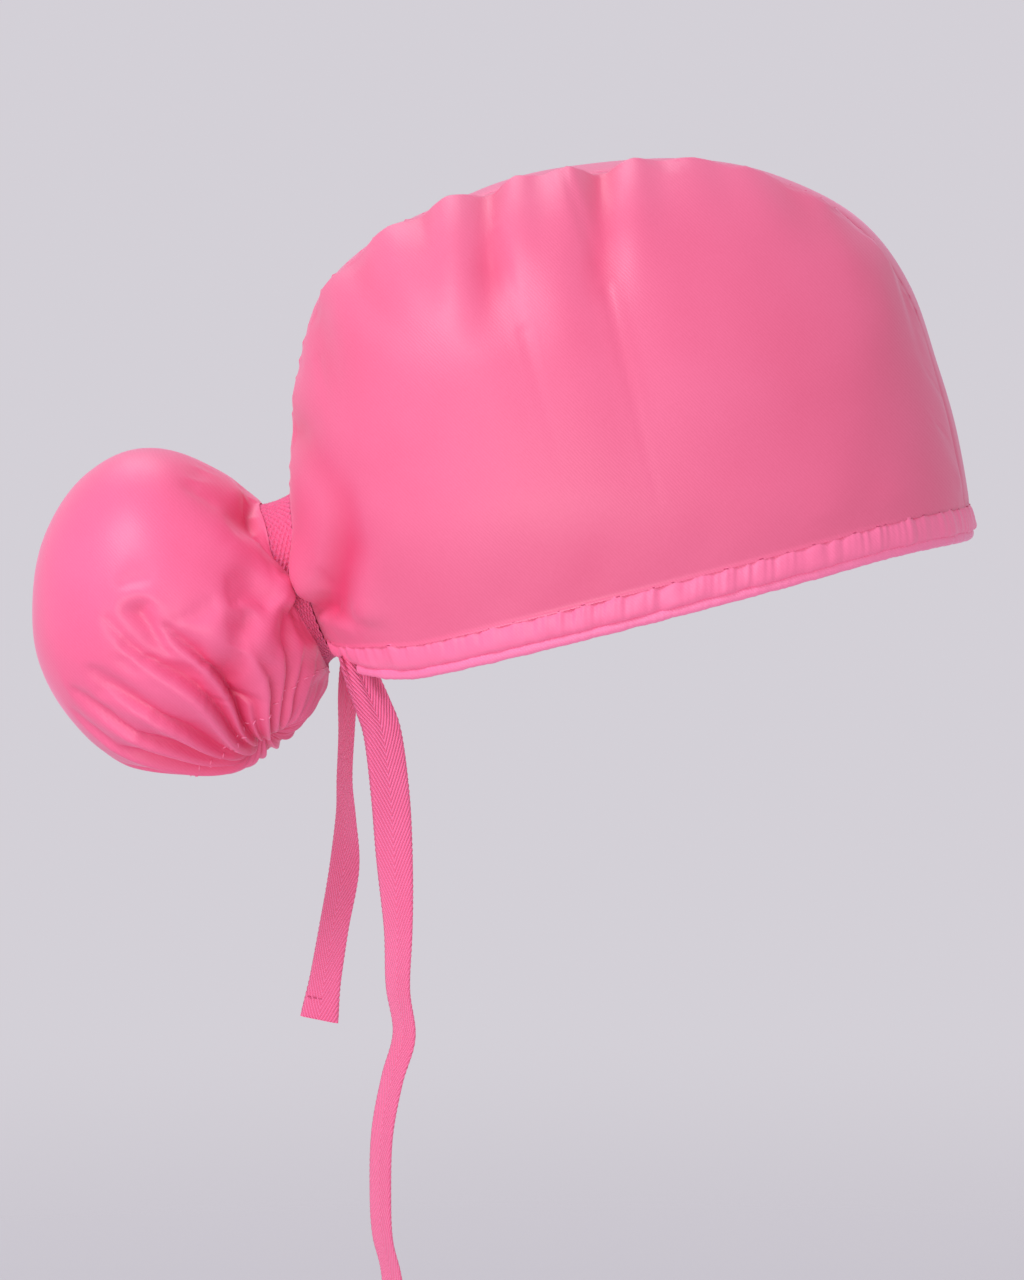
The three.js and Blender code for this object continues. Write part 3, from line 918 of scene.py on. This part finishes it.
def tape(name, rows):
    _, length = smooth_route(rows, 10)
    route, length = smooth_route(rows, int(length / TAPE_STEP) + 1)
    centre, turn = route[:, :3], np.radians(route[:, 3])
    along = unit(np.gradient(centre, axis=0))
    face = np.stack([np.cos(turn), np.sin(turn), 0 * turn], -1)
    face = unit(face - along * np.sum(face * along, 1, keepdims=True))
    through = np.cross(face, along)
    # Across the tape: the two faces are a little domed, and the edges are the rounded turns of the weft.
    across = np.concatenate([np.linspace(-1, 1, 13), np.linspace(1, -1, 13)])
    side = np.concatenate([np.ones(13), -np.ones(13)])
    edge = np.sqrt(np.clip(1 - np.abs(across) ** 8, 0, 1)) * side
    run = np.linspace(0, length, len(centre))
    nibble = 0.12 * np.sin(run * 2 * math.pi / 1.9)[:, None] * (np.abs(across) > 0.95)
    to_end = (length - run)[:, None]
    folded = 1 + 0.9 * smoothstep(END_FOLD + 0.6 - to_end, 0, 1.2)
    seam = -0.35 * hill(to_end - END_FOLD + SEAM_IN, 0.7)
    flare = 1 + 0.09 * smoothstep(16 - to_end, 0, 16)
    crushed = np.exp(-run / 13)[:, None]
    creases = crushed * (0.9 * np.sin(across * 9 + 1) + 0.5 * np.sin(across * 17 + run[:, None] / 9))
    wide = (across * TAPE_WIDE / 2 + nibble * np.sign(across)) * flare * (1 - 0.12 * crushed)
    grid = centre[:, None] + face[:, None] * wide[..., None]
    deep = edge * (TAPE_THICK / 2 * folded + seam * (np.abs(across) < 0.97)) + creases
    grid = grid + through[:, None] * deep[..., None]
    piece = tube(name, grid, TIE_TAPE)
    weave = np.zeros(grid.shape)
    weave[..., 0] = across
    weave[..., 1] = run[:, None] * MM
    piece.data.attributes.new("weave", "FLOAT_VECTOR", "POINT").data.foreach_set("vector", weave.ravel())
    return piece, centre, length, (centre[-1], along[-1], face[-1], through[-1])


tie_right, path_right, length_right, end_right = tape("tie_right", TIE_RIGHT)
tie_left, path_left, length_left, end_left = tape("tie_left", TIE_LEFT)
print("ties", round(length_right), "and", round(length_left), "mm")

for tie, path, length, tip, node in (
    (tie_right, path_right, length_right, end_right, "tie_right"),
    (tie_left, path_left, length_left, end_left, "tie_left"),
):
    end, _, face, through = tip
    way = 1 if through[1] < 0 else -1
    middle = path[np.argmin(np.abs(np.linalg.norm(path - path[-1], axis=1) - END_FOLD + SEAM_IN))]
    seam_line = middle + face * np.linspace(-5.6, 5.6, 9)[:, None] + through * way * TAPE_THICK * 0.62
    # These stitches take the dark thread, whose colour is painted shade.
    stitches(node + "_stitches", seam_line, np.tile(through * way, (9, 1)), 2.0, 1.7, 0.45, "tie_tape")
    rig.ride(tie, "root")
    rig.replaces(tie, node)
    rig.slot(tie, "tie_tape")
    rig.cord(
        tie, exit=tuple(path[0] * MM), length=length * MM, diameter=TAPE_WIDE * MM, far_end="bare",
        stiffness="limp", lay="hanging", path=(path[::6] * MM).tolist() + [(path[-1] * MM).tolist()],
    )  # fmt: skip

# %% [markdown]
# ## The crown's side panels
#
# Each side panel is eased into the seam of the top panel, so it stands up beside the seam in puckers, and
# soft folds run down from them. The panel fills the space between the seam, the collar and the casing: a
# blend of its four edges, pushed out onto the form. Its folds are drawn in part, the cloth settles, and
# they are pressed in once more. The left panel is the right one mirrored, with a lower shoulder.

# %% The grid of a side panel
SHOULDER = 30
UNDER_CASING = 0.9  # how far a panel's lower edge runs down behind the casing
FOLDS_BEFORE, FOLDS_AFTER = 0.55, 0.75  # how much of the folds is drawn before the cloth settles, and after
LEFT_LOWER = 2.6


def side_panel_grid(rows, columns):
    """The right side panel, as points on the crown: rows along the seam, and columns down to the casing."""
    front, back = (float(a) for a in line_ends(-1.0))
    corner = on_line(-1.0, front)
    first = math.atan2(abs(corner[1]), corner[0] - CENTRE[0])
    last = end_heading(casing_top)
    ring_start = place_in_ring(CROWN, CROWN_RING, on_line(-1.0, back))[1]
    ring_end = place_in_ring(CROWN, CROWN_RING, at_height(np.array(-last), casing_top))[1]
    s, t = np.linspace(0, 1, rows)[:, None], np.linspace(0, 1, columns)[None, :]
    lerp = lambda a, b, k: a + (b - a) * k
    top = on_line(-1.0, lerp(SHOULDER, back, s[:, 0]))[:, None]
    front_edge = on_line(-1.0, lerp(SHOULDER, front, t[0]))[None]
    bottom = at_height(-lerp(first, last, s[:, 0]), casing_top)[:, None]
    back_edge = on_ring(CROWN, CROWN_RING, lerp(ring_start, ring_end, t[0]))[None]
    s, t = s[..., None], t[..., None]
    blend = top * (1 - t) + bottom * t + front_edge * (1 - s) + back_edge * s
    blend = blend - top[:1] * (1 - s) * (1 - t) - bottom[:1] * (1 - s) * t
    blend = blend - top[-1:] * s * (1 - t) - bottom[-1:] * s * t
    return on_form(CROWN, blend - CENTRE)


def edge_distance(grid):
    """How far each point is from the seam, the casing and the collar, in millimetres."""
    flat = grid.reshape(-1, 3)
    edges = {
        "seam": np.concatenate([grid[:, 0], grid[0, :]]),
        "casing": grid[:, -1],
        "collar": grid[-1, :],
    }
    away = {}
    for edge, line in edges.items():
        gaps = np.linalg.norm(flat[:, None] - line[None, ::2], axis=-1).min(1)
        away[edge] = gaps.reshape(grid.shape[:2])
    return away


panel_start = side_panel_grid(110, 76)
panel_away = edge_distance(panel_start)
print("side panel", panel_start.shape)

# %% Where the folds lie
# Each row is a valley seen from the side: from x, z to x, z in millimetres, its half-width and its depth,
# which is negative for a low ridge.
PANEL_FOLDS = (
    (-57, 142, -58, 94, 5, 3.0),
    (-56, 112, -38, 62, 8, 1.2),
    (-21, 147, -21, 108, 5.5, 3.6),
    (-22, 112, -6, 50, 9, 1.0),
    (-80, 133, -74, 106, 5, 1.8),
    (-102, 120, -86, 92, 6, 1.4),
    (-40, 147, -38, 128, 5, 1.0),
    (-3, 152, -1, 130, 6, 0.9),
    (18, 151, 22, 128, 6, 0.7),
    (36, 147, 48, 126, 6, 1.4),
    (76, 124, 81, 88, 4.5, 1.8),
    (60, 134, 70, 106, 5, 1.0),
    (-113, 98, -104, 60, 5, 1.2),
    (-118, 60, -100, 30, 6, 1.8),
    (-107, 7, -101, 46, 6, 4.4),
    (-113, 3, -86, -6, 2.8, 2.4),
    (-111, -4, -90, -11, 2.4, 2.0),
    (64, 112, 64, 24, 13, -1.1),
    (-98, 22, -84, -6, 7, 1.1),
    (60, 22, 68, 66, 7, 0.9),
    (38, 16, 44, 44, 6, 0.45),
    (8, 9, 14, 38, 6, 0.4),
    (-26, 0, -19, 30, 6, 0.4),
    (-54, -6, -47, 22, 6, 0.5),
)
# Sharp faint creases that the cloth keeps from being folded, in the same columns.
PANEL_CREASES = (
    (-54, 124, -46, 93, 1.3, 0.45),
    (-46, 93, -34, 50, 1.3, 0.3),
    (-33, 144, -20, 106, 1.3, 0.5),
    (-20, 106, -4, 40, 1.3, 0.35),
    (72, 121, 81, 92, 1.2, 0.5),
    (74, 116, 84, 78, 1.2, 0.3),
    (-112, 84, -106, 62, 1.3, 0.3),
)


def fold_depth(grid, folds):
    """How far the cloth dips at each point, for a table of folds."""
    depth = np.zeros(grid.shape[:2])
    place = grid[..., [0, 2]]
    for x0, z0, x1, z1, half, deep in folds:
        start, end = np.array([x0, z0], float), np.array([x1, z1], float)
        run = end - start
        t = np.clip(((place - start) @ run) / (run @ run), 0, 1)
        gap = np.linalg.norm(place - start - t[..., None] * run, axis=-1)
        depth += deep * hill(gap, half) * (1 - 0.85 * t)
        depth -= 0.25 * deep * hill(gap - 2.1 * half, half) * (1 - 0.85 * t)
    return depth


def wander(points, size, seed):
    """Slow smooth noise over points, about -1 to 1, from a few waves of fixed random directions."""
    rng = np.random.default_rng(seed)
    value = np.zeros(points.shape[:-1])
    for _ in range(7):
        wave = rng.normal(size=3)
        wave *= 2 * math.pi / (size * rng.uniform(0.7, 1.5) * np.linalg.norm(wave))
        value += np.sin(points @ wave + rng.uniform(0, 2 * math.pi))
    return value / 3


free = smoothstep(panel_away["seam"], 0, 5.5) * smoothstep(panel_away["casing"], 0, 10)
free = free * smoothstep(panel_away["collar"], 0, 10)
outward = unit(panel_start - CENTRE)
near_seam = np.exp(-panel_away["seam"] / 16)
puckers = wander(panel_start, 26, 4) * near_seam * 0.45
panel_degrees = np.degrees(np.arctan2(panel_start[..., 2] - CENTRE[2], panel_start[..., 0] - CENTRE[0]))
panel_degrees = np.where(panel_degrees < -90, panel_degrees + 360, panel_degrees)
rise = 5.9 * (panel_half(panel_degrees) / 34) ** 2.6 - 2.8 * smoothstep(panel_start[..., 0], 20, 80)
rise = rise * np.exp(-panel_away["seam"] / 30)
# Behind, where the full cloth presses on the pouch, it rolls over the collar.
pressed = hill(panel_start[..., 2] - 14, 11)
rise += 5.5 * pressed * hill(panel_away["collar"] - 7, 7)
dips = FOLDS_BEFORE * fold_depth(panel_start, PANEL_FOLDS)
shaped = panel_start + outward * (free * (rise + puckers - dips))[..., None]

# %% The side panels settle
ease = 1 + 0.026 * np.exp(-panel_away["seam"] / 22) + 0.02 * np.exp(-panel_away["casing"] / 14) + 0.004
panel_cut = CENTRE + (panel_start - CENTRE) * ease[..., None]
pins = np.zeros(panel_start.shape[:2])
pins[0], pins[-1], pins[:, 0], pins[:, -1] = 1, 1, 1, 1
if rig.quick():
    panel_cloth = shaped
else:
    panel_cloth = settled("side_panel_cloth", shaped, panel_cut, pins, 24, 1.0, 0.9)
moved = np.linalg.norm(panel_cloth - panel_start, axis=-1)
mean, most = float(moved.mean()), float(moved.max())
print("side panel moved", round(mean, 2), "mm on average,", round(most, 1), "at most")

fine_cloth = finer(panel_cloth)
fine_free = finer(free[..., None])[..., 0]
creased = fold_depth(fine_cloth, PANEL_CREASES) * fine_free
folded = fold_depth(fine_cloth, PANEL_FOLDS) * fine_free
creased += FOLDS_AFTER * folded
fine_out = unit(fine_cloth - CENTRE)
right_grid = narrowed(fine_cloth - fine_out * creased[..., None])
# The left panel's shoulder is set lower, so that it does not stand above the right one.
shoulder = (free * np.exp(-panel_away["seam"] / 30))[..., None]
lower = LEFT_LOWER * finer(shoulder)[..., 0] * (1 - 0.5 * smoothstep(fine_cloth[..., 0], 20, 80))
left_grid = narrowed(fine_cloth - fine_out * (creased + lower)[..., None]) * np.array([1, -1, 1])
for name, grid in (("crown_side_right", right_grid), ("crown_side_left", left_grid)):
    grid[:, -1, 2] -= UNDER_CASING
    points, faces = cloth_wall(grid, CENTRE)
    panel = finished(name, points, faces, CROWN_SATIN)
    # A deeper red is painted into the panel's folds as painted shade.
    paint_fold_shade(panel, 0.2 * folded - 0.06)
    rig.ride(panel, "root")
    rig.replaces(panel, name)
    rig.slot(panel, "crown_satin")
    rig.sheet(panel, flat=(0.2, 0.3), area=0.042, held="gathered", rests_on=["drawstring_casing"])

# %% [markdown]
# ## The top panel
#
# A band of the same cloth runs from the brow over the top of the head to the collar. It is not eased, so
# it lies smooth, and its cloth does not settle. Its two edges dip and run a little way under the side
# panels.

# %% The top panel's grid
TUCKED = 1.6  # how far the panel's edges run under the side panels
SEAM_DIP = 1.5
across = np.linspace(-1, 1, 31)
fronts, backs = line_ends(across)
t = np.linspace(0, 1, 150)[:, None]
angles = fronts[None] + (backs - fronts)[None] * t
top_grid = at_side(CROWN, angles, across[None] * (panel_half(angles) + TUCKED))
top_out = unit(top_grid - CENTRE)
sunk = -0.9 * smoothstep(angles, 35, 75) * (1 - np.abs(across) ** 3)[None]
seam_dip = sunk - SEAM_DIP * hill((1 - np.abs(across)) * 30, 2.6)[None]
ends = smoothstep(t, 0, 0.03) * smoothstep(1 - t, 0, 0.03)
waves = wander(top_grid, 60, 9) * 0.7 * (1 - np.abs(across) ** 4)[None]
top_grid = top_grid + top_out * ((waves + seam_dip) * ends)[..., None]
top_grid[0, :, 2] -= UNDER_CASING
points, faces = cloth_wall(narrowed(top_grid), CENTRE)
top_panel = finished("crown_top_panel", points, faces, CROWN_SATIN)
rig.ride(top_panel, "root")
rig.replaces(top_panel, "crown_top_panel")
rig.slot(top_panel, "crown_satin")
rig.sheet(top_panel, flat=(0.075, 0.36), area=0.022, held="stretched", rests_on=["drawstring_casing"])
print("top panel", len(points), "points")

# %% [markdown]
# ## The casing
#
# The casing is a narrow tunnel of cloth for the drawstring. The drawn-up tape puckers it in short upright
# pleats, it is stitched along its top, and it swells a little over the tape.

# %% The casing's sections
CASING_REACH = 0.985
STITCHED_AT = 0.84  # how far up the casing its row of stitches is, from -1 to 1
BINDING_REACH = 0.93


def band(reach, count):
    """Headings round the head opening, the outward directions there, and the run along the casing."""
    heading = np.linspace(-1, 1, count) * reach * end_heading(casing_top)
    out = np.stack([np.cos(heading), np.sin(heading), 0 * heading], -1)
    top = narrowed(at_height(heading, casing_top))
    foot = narrowed(at_height(heading, hem_bottom))
    run = np.append(0, np.cumsum(np.linalg.norm(np.diff(foot, axis=0), axis=1)))
    return out, top, foot, run


def ripple(run, pitch, seed):
    """Uneven ripples along a line, about -1 to 1."""
    rng = np.random.default_rng(seed)
    value = np.zeros_like(run)
    for _ in range(6):
        value += np.sin(run * 2 * math.pi / (pitch * rng.uniform(0.65, 1.6)) + rng.uniform(0, 7))
    return value / 2.4


out, top, foot, run = band(CASING_REACH, 1300)
around = np.linspace(0, 2 * math.pi, 27)[:-1]
rounded = lambda v, power: np.sign(v) * np.abs(v) ** power
bulge, height = rounded(np.cos(around), 0.75), rounded(np.sin(around), 0.7)
middle = (top + foot) / 2 - out * WALL / 2
half_up = (top - foot) / 2
pleats = ripple(run, 7, 21) * 0.35 + ripple(run, 3.4, 22) * 0.16
bunched = hill(np.minimum(run, run[-1] - run), 16)
pleats = pleats * (1 + 0.8 * bunched) + ripple(run, 4.5, 26) * 0.55 * bunched
upper = smoothstep(height, -0.3, 1)
lower = 1 - upper
swell = 1 + 0.12 * ripple(run, 23, 23)
thick = 1.55 * swell[:, None] * (0.6 + 0.58 * lower[None])
outer_only = smoothstep(np.cos(around), -0.2, 0.4)
dent = pleats[:, None] * (0.35 + 0.65 * upper)[None] * outer_only[None]
groove = -0.3 * hill(height - STITCHED_AT, 0.12)[None] * outer_only[None]
flare = 0.5 * smoothstep(-height, 0, 1)[None] * (1 + 0.5 * ripple(run, 13, 24))[:, None]
casing_grid = (
    middle[:, None]
    + out[:, None] * (bulge[None] * thick + dent + groove + flare)[..., None]
    + half_up[:, None] * (height[None] * (1 + 0.03 * ripple(run, 9, 25)[:, None]))[..., None]
)


seam_point = int(np.argmin(np.abs(height[:14] - STITCHED_AT) + 9 * (np.cos(around[:14]) < 0)))
seam_line = casing_grid[3:-3, seam_point] + out[3:-3] * 0.05
# These stitches take the dark thread, whose colour is painted shade.
stitches("casing_stitches", seam_line, out[3:-3], 3.0, 1.8, 0.42, "casing_satin")
casing = tube("drawstring_casing_cloth", casing_grid, CASING_SATIN)
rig.ride(casing, "root")
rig.replaces(casing, "drawstring_casing")
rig.slot(casing, "casing_satin")
print("casing", round(run[-1]), "mm long")

# %% [markdown]
# ## The bound edge
#
# Under the casing shows a roll of the same cloth, cut on the bias and sewn over a cord. It finishes the
# edge that lies on the skin.

# %% The bound edge's sections
out, _, foot, run = band(BINDING_REACH, 1100)
around = np.linspace(0, 2 * math.pi, 19)[:-1]
lump = 1 + 0.05 * ripple(run, 9, 31)[:, None] + 0.02 * ripple(run, 2.5, 32)[:, None]
middle = foot - out * (WALL / 2 + 0.35) - np.array([0, 0, 0.95])
binding_grid = (
    middle[:, None]
    + out[:, None] * (np.cos(around)[None] * 1.6 * lump)[..., None]
    + np.array([0, 0, 1])[None, None] * (np.sin(around)[None] * 2.1 * lump)[..., None]
)
binding = tube("edge_binding_roll", binding_grid, BINDING_SATIN)
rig.ride(binding, "root")
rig.replaces(binding, "edge_binding")
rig.slot(binding, "binding_satin")
print("bound edge", round(run[-1]), "mm long")

# %% [markdown]
# ## The elastic collar
#
# An elastic ring with an open knit joins the crown to the pouch. Its threads cross in slanting rows,
# which pull into narrow diamonds as the elastic draws in.

# %% The collar's ribs
RIBS_ROUND, RIB_TURNS = 26, 5
PAST_RIM = 0.1  # a little past both rims, as the seam allowances are
degrees = np.linspace(0, 360, 577)[:-1]
near = narrowed(on_ring(CROWN, CROWN_RING, degrees))
far = on_ring(POUCH, POUCH_RING, degrees)
along = far - near
ring_middle = (on_ring(CROWN, CROWN_RING, 0.0) + on_ring(CROWN, CROWN_RING, 180.0)) / 2
inward = ring_middle - near
inward -= along * (np.sum(inward * along, 1) / np.sum(along * along, 1))[:, None]
inward = unit(inward)
t = np.linspace(-PAST_RIM, 1 + PAST_RIM, 41)
turn_phase = (np.radians(degrees) * RIBS_ROUND + 0.3 * ripple(degrees, 40, 41))[:, None]
row_phase = (math.pi * RIB_TURNS * t)[None]
slants = np.abs(np.sin(turn_phase + row_phase)), np.abs(np.sin(turn_phase - row_phase))
net = 1 - np.minimum(*slants) ** 0.7
drawn_in = np.clip(np.sin(math.pi * (t + PAST_RIM) / 1.2), 0, 1)[None] ** 0.3
depth = 1.9 * drawn_in - 0.2 - 0.95 * net
ends_in = 2.2 * (smoothstep(-t, -0.02, 0.1) + smoothstep(t, 1.02, 1.1))[None]
depth = depth + ends_in
outer = near[:, None] + along[:, None] * t[None, :, None] + inward[:, None] * depth[..., None]
inner_depth = depth[:, ::-1, None] * 0.4 + 1.6
inner = near[:, None] + along[:, None] * t[None, ::-1, None] + inward[:, None] * inner_depth
collar_grid = np.concatenate([outer, inner], 1)
rows, columns = collar_grid.shape[:2]
faces = grid_faces(rows, columns, round_rows=True, round_columns=True)
collar = finished("back_elastic_knit", collar_grid.reshape(-1, 3), faces, ELASTIC_KNIT)
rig.ride(collar, "root")
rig.replaces(collar, "back_elastic")
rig.slot(collar, "elastic_knit")
print("collar", rows, "by", columns)

# %% [markdown]
# ## The pouch
#
# The pouch is a bag whose free end is drawn shut, so its cloth folds towards the gather. Lines from the
# collar to the gather lie on the circles that pass through both. The pleats come from a table: they are
# drawn lightly, the cloth settles, and then they are pressed in on a finer grid.

# %% The pouch's grid
GATHER_ANGLE, GATHER_SIDEWAYS = 305, 9
POUCH_RADIUS = 52
ROLLS = (279, 81)  # where round the collar, on the right and on the left, the pouch rolls over it
POUCH_CENTRE = np.array(POUCH["centre"], float)


NECK_POLE = ring_axes(POUCH_RING)[0]
g = math.radians(GATHER_ANGLE)
GATHER_POLE = unit(np.array([math.cos(g), -math.tan(math.radians(GATHER_SIDEWAYS)), math.sin(g)]))


def pouch_rays(degrees, along):
    """Directions from the pouch's centre, for places round the collar and along the pouch."""
    start = unit(on_ring(POUCH, POUCH_RING, degrees) - POUCH_CENTRE)
    axis = unit(np.cross(start - NECK_POLE, GATHER_POLE - NECK_POLE))
    middle = axis * np.sum(axis * start, -1, keepdims=True)
    arm = start - middle
    cross = np.cross(axis, arm)
    end = GATHER_POLE - middle
    sweep = np.mod(np.arctan2(np.sum(end * cross, -1), np.sum(end * arm, -1)), 2 * math.pi)
    turn = sweep[None] * along[:, None]
    return unit(middle[None] + arm[None] * np.cos(turn)[..., None] + cross[None] * np.sin(turn)[..., None])


pouch_degrees = np.linspace(0, 360, 145)[:-1]
pouch_along = 0.985 * (1 - (1 - np.linspace(0, 1, 70)) ** 1.12)
rays = pouch_rays(pouch_degrees, pouch_along)
pouch_start = on_form(POUCH, rays)
to_gather = np.arccos(np.clip(rays @ GATHER_POLE, -1, 1)) * POUCH_RADIUS  # millimetres of cloth
# Each row is a pleat: where round the collar its far end points to, how far from the gather it starts,
# where it has moved to at the gather, its depth and its width.
PLEATS = (
    (316, 88, 283, 4.2, 8), (328, 92, 293, 4.0, 9), (337, 86, 311, 3.6, 8), (346, 84, 327, 3.2, 8),
    (355, 80, 343, 3.0, 7), (301, 47, 273, 2.0, 5), (281, 58, 262, 2.8, 7), (266, 58, 250, 2.4, 6),
    (243, 46, 238, 2.2, 5), (222, 40, 222, 2.0, 5), (202, 36, 202, 1.9, 5), (180, 35, 180, 1.9, 5),
    (158, 38, 160, 1.9, 5), (136, 42, 138, 2.0, 5), (114, 50, 118, 2.2, 6), (94, 56, 98, 2.4, 6),
    (76, 50, 80, 2.2, 6), (58, 66, 62, 2.8, 7), (42, 80, 44, 3.0, 8), (27, 74, 28, 2.8, 7),
    (12, 66, 10, 2.5, 7), (322, 36, 318, 1.6, 4), (334, 30, 334, 1.6, 4), (352, 34, 358, 1.6, 4),
)  # fmt: skip
# Each row is a valley or a crease of the near side, as in the crown's table.
NECK_FOLDS = (
    (-121, 17, -134, 32, 4.5, 4.6),
    (-134, 32, -152, 43, 5, 3.0),
    (-124, 22, -131, 25, 2.2, 1.6),
    (-119, 10, -126, -14, 2.6, 2.0),
    (-122, 2, -121, -26, 2.2, 1.2),
    (-136, -2, -139, -24, 4, 1.4),
    (-169, 3, -161, -9, 3, 1.5),
)


def pleat_depth(degrees, mm_per_degree, to_gather):
    """Pleats that lie over: a step down along each line, and a slow rise from it to the next. The second
    result is how near each point is to a step's foot."""
    depth, foot_of = np.zeros_like(to_gather), np.zeros_like(to_gather)
    for place, reach, moved_to, deep, wide in PLEATS:
        shift = (np.mod(moved_to - place + 180, 360) - 180) * (1 - smoothstep(to_gather, 30, reach))
        aside = (np.mod(degrees[None] - place - shift + 180, 360) - 180) * mm_per_degree
        close = 0.25 + 0.75 * smoothstep(to_gather, 4, 40)
        close = close * (1 - 0.6 * smoothstep(to_gather, reach * 0.5, reach))
        step = np.where(aside < 0, hill(aside, wide * close), hill(aside, 1.1))
        lip = 0.35 * hill(aside - 3 * close, 2.6 * close)
        fade = (1 - smoothstep(to_gather, reach * 0.3, reach)) ** 0.8
        depth += deep * fade * (0.35 + 0.65 * close) * (step - lip)
        foot_of = np.maximum(foot_of, fade * hill(aside + 0.6, 1.0))
    return depth * smoothstep(to_gather, 1, 9), foot_of


columns_apart = np.linalg.norm(np.roll(pouch_start, -1, 1) - pouch_start, axis=-1) / 2.5
from_neck = np.linalg.norm(pouch_start - pouch_start[:1], axis=-1)
pleats, _ = pleat_depth(pouch_degrees, columns_apart, to_gather)
dimple = 5 * hill(to_gather, 9)
puckers = 1.1 * wander(pouch_start, 14, 53) * hill(from_neck - 5, 5)
near_side = smoothstep(-pouch_start[..., 1], -4, 10) * smoothstep(from_neck, 0, 4)
necking = fold_depth(pouch_start, NECK_FOLDS) * near_side
below = smoothstep(POUCH_CENTRE[2] - pouch_start[..., 2], 14, 44)
swollen = (1.3 * below - 0.2 * (1 - below)) * smoothstep(from_neck, 3, 14) * smoothstep(to_gather, 3, 22)
pouch_shaped = pouch_start + rays * (swollen - 0.3 * pleats - dimple - puckers - 0.5 * necking)[..., None]

# %% The pouch settles
pouch_ease = 1.01 + 0.05 * hill(to_gather, 30) + 0.02 * np.exp(-from_neck / 10)
pouch_cut = POUCH_CENTRE + (pouch_start - POUCH_CENTRE) * pouch_ease[..., None]
pouch_pins = np.zeros(pouch_start.shape[:2])
pouch_pins[0], pouch_pins[-2:] = 1, 1
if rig.quick():
    pouch_cloth = pouch_shaped
else:
    pouch_cloth = settled(
        "pouch_cloth", pouch_shaped, pouch_cut, pouch_pins, 12, 0.6, 0.3, round_columns=True
    )
# On both sides the full cloth rolls over the collar and touches the crown.
side_on = hill(np.minimum(np.abs(pouch_degrees - ROLLS[0]), np.abs(pouch_degrees - ROLLS[1])), 17)
roll = side_on[None] * hill(from_neck - 6, 7) * smoothstep(from_neck, 0, 3)
roll_over = np.stack([7.0 * roll, np.sign(pouch_cloth[..., 1]) * 4.0 * roll, 1.0 * roll], -1)
pouch_grid = finer(pouch_cloth + roll_over, round_columns=True)
# The pleats are pressed in once more on the finer grid, where their edges come out sharp.
fine_degrees = np.linspace(0, 360, pouch_grid.shape[1] + 1)[:-1]
fine_away, fine_apart, fine_side = (
    finer(values[..., None], round_columns=True)[..., 0] for values in (to_gather, columns_apart, near_side)
)
crimps = np.sin(np.radians(fine_degrees)[None] * 41 + 2.2 * wander(pouch_grid, 40, 57))
crimps = 0.38 * crimps * hill(fine_away - 12, 12)
fine_pleats, fine_feet = pleat_depth(fine_degrees, fine_apart, fine_away)
fine_neck = fold_depth(pouch_grid, NECK_FOLDS) * fine_side
pressed = fine_pleats + crimps + 0.8 * fine_neck
pouch_grid = pouch_grid - unit(pouch_grid - POUCH_CENTRE) * pressed[..., None]
points, faces = cloth_wall(pouch_grid, POUCH_CENTRE, round_columns=True)
# The gathered end is closed on both faces of the wall.
columns, count = pouch_grid.shape[1], pouch_grid.shape[0] * pouch_grid.shape[1]
faces = faces[:-columns]
last = np.arange(count - columns, count)
faces += [tuple(last), tuple((last + count)[::-1])]
pouch = finished("bun_pouch_cloth", points, faces, POUCH_SATIN)
# A deeper red is painted into the pleats, along their steps' feet and into the neck's valleys, as painted shade.
paint_fold_shade(pouch, 0.13 * fine_pleats + 0.45 * fine_feet + 0.17 * fine_neck - 0.04)
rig.ride(pouch, "root")
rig.replaces(pouch, "bun_pouch")
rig.slot(pouch, "pouch_satin")
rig.sheet(pouch, flat=(0.2, 0.22), area=0.038, held="gathered", rests_on=["back_elastic"])
print("pouch", len(points), "points")

# %% The pouch's ring of stitches
# A row of thread holds the gathers a little way out from the gathered point.
wanted = 27 + 4 * np.sin(np.radians(np.linspace(0, 360, columns, endpoint=False)) * 2 + 0.6)
rows_at = np.argmin(np.abs(fine_away - wanted[None]), axis=0)
ring_line = pouch_grid[rows_at, np.arange(columns)]
ring_line = np.concatenate([ring_line, ring_line[:1]])
ring_out = unit(ring_line - POUCH_CENTRE)
ring_line = ring_line + ring_out * 0.1
stitches("gather_stitches", ring_line, ring_out, 3.4, 2.1, 0.5, "pouch_satin", PALE_THREAD)

# %% The finished box
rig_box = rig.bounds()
with open("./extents.json", "w") as sizes:
    json.dump({"cad": [list(c) for c in cad_box], "visual": [list(c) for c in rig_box]}, sizes)
for name, (low, high) in {"cad": cad_box, "visual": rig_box}.items():
    print(name, [round(v * 1000, 1) for v in low], [round(v * 1000, 1) for v in high])
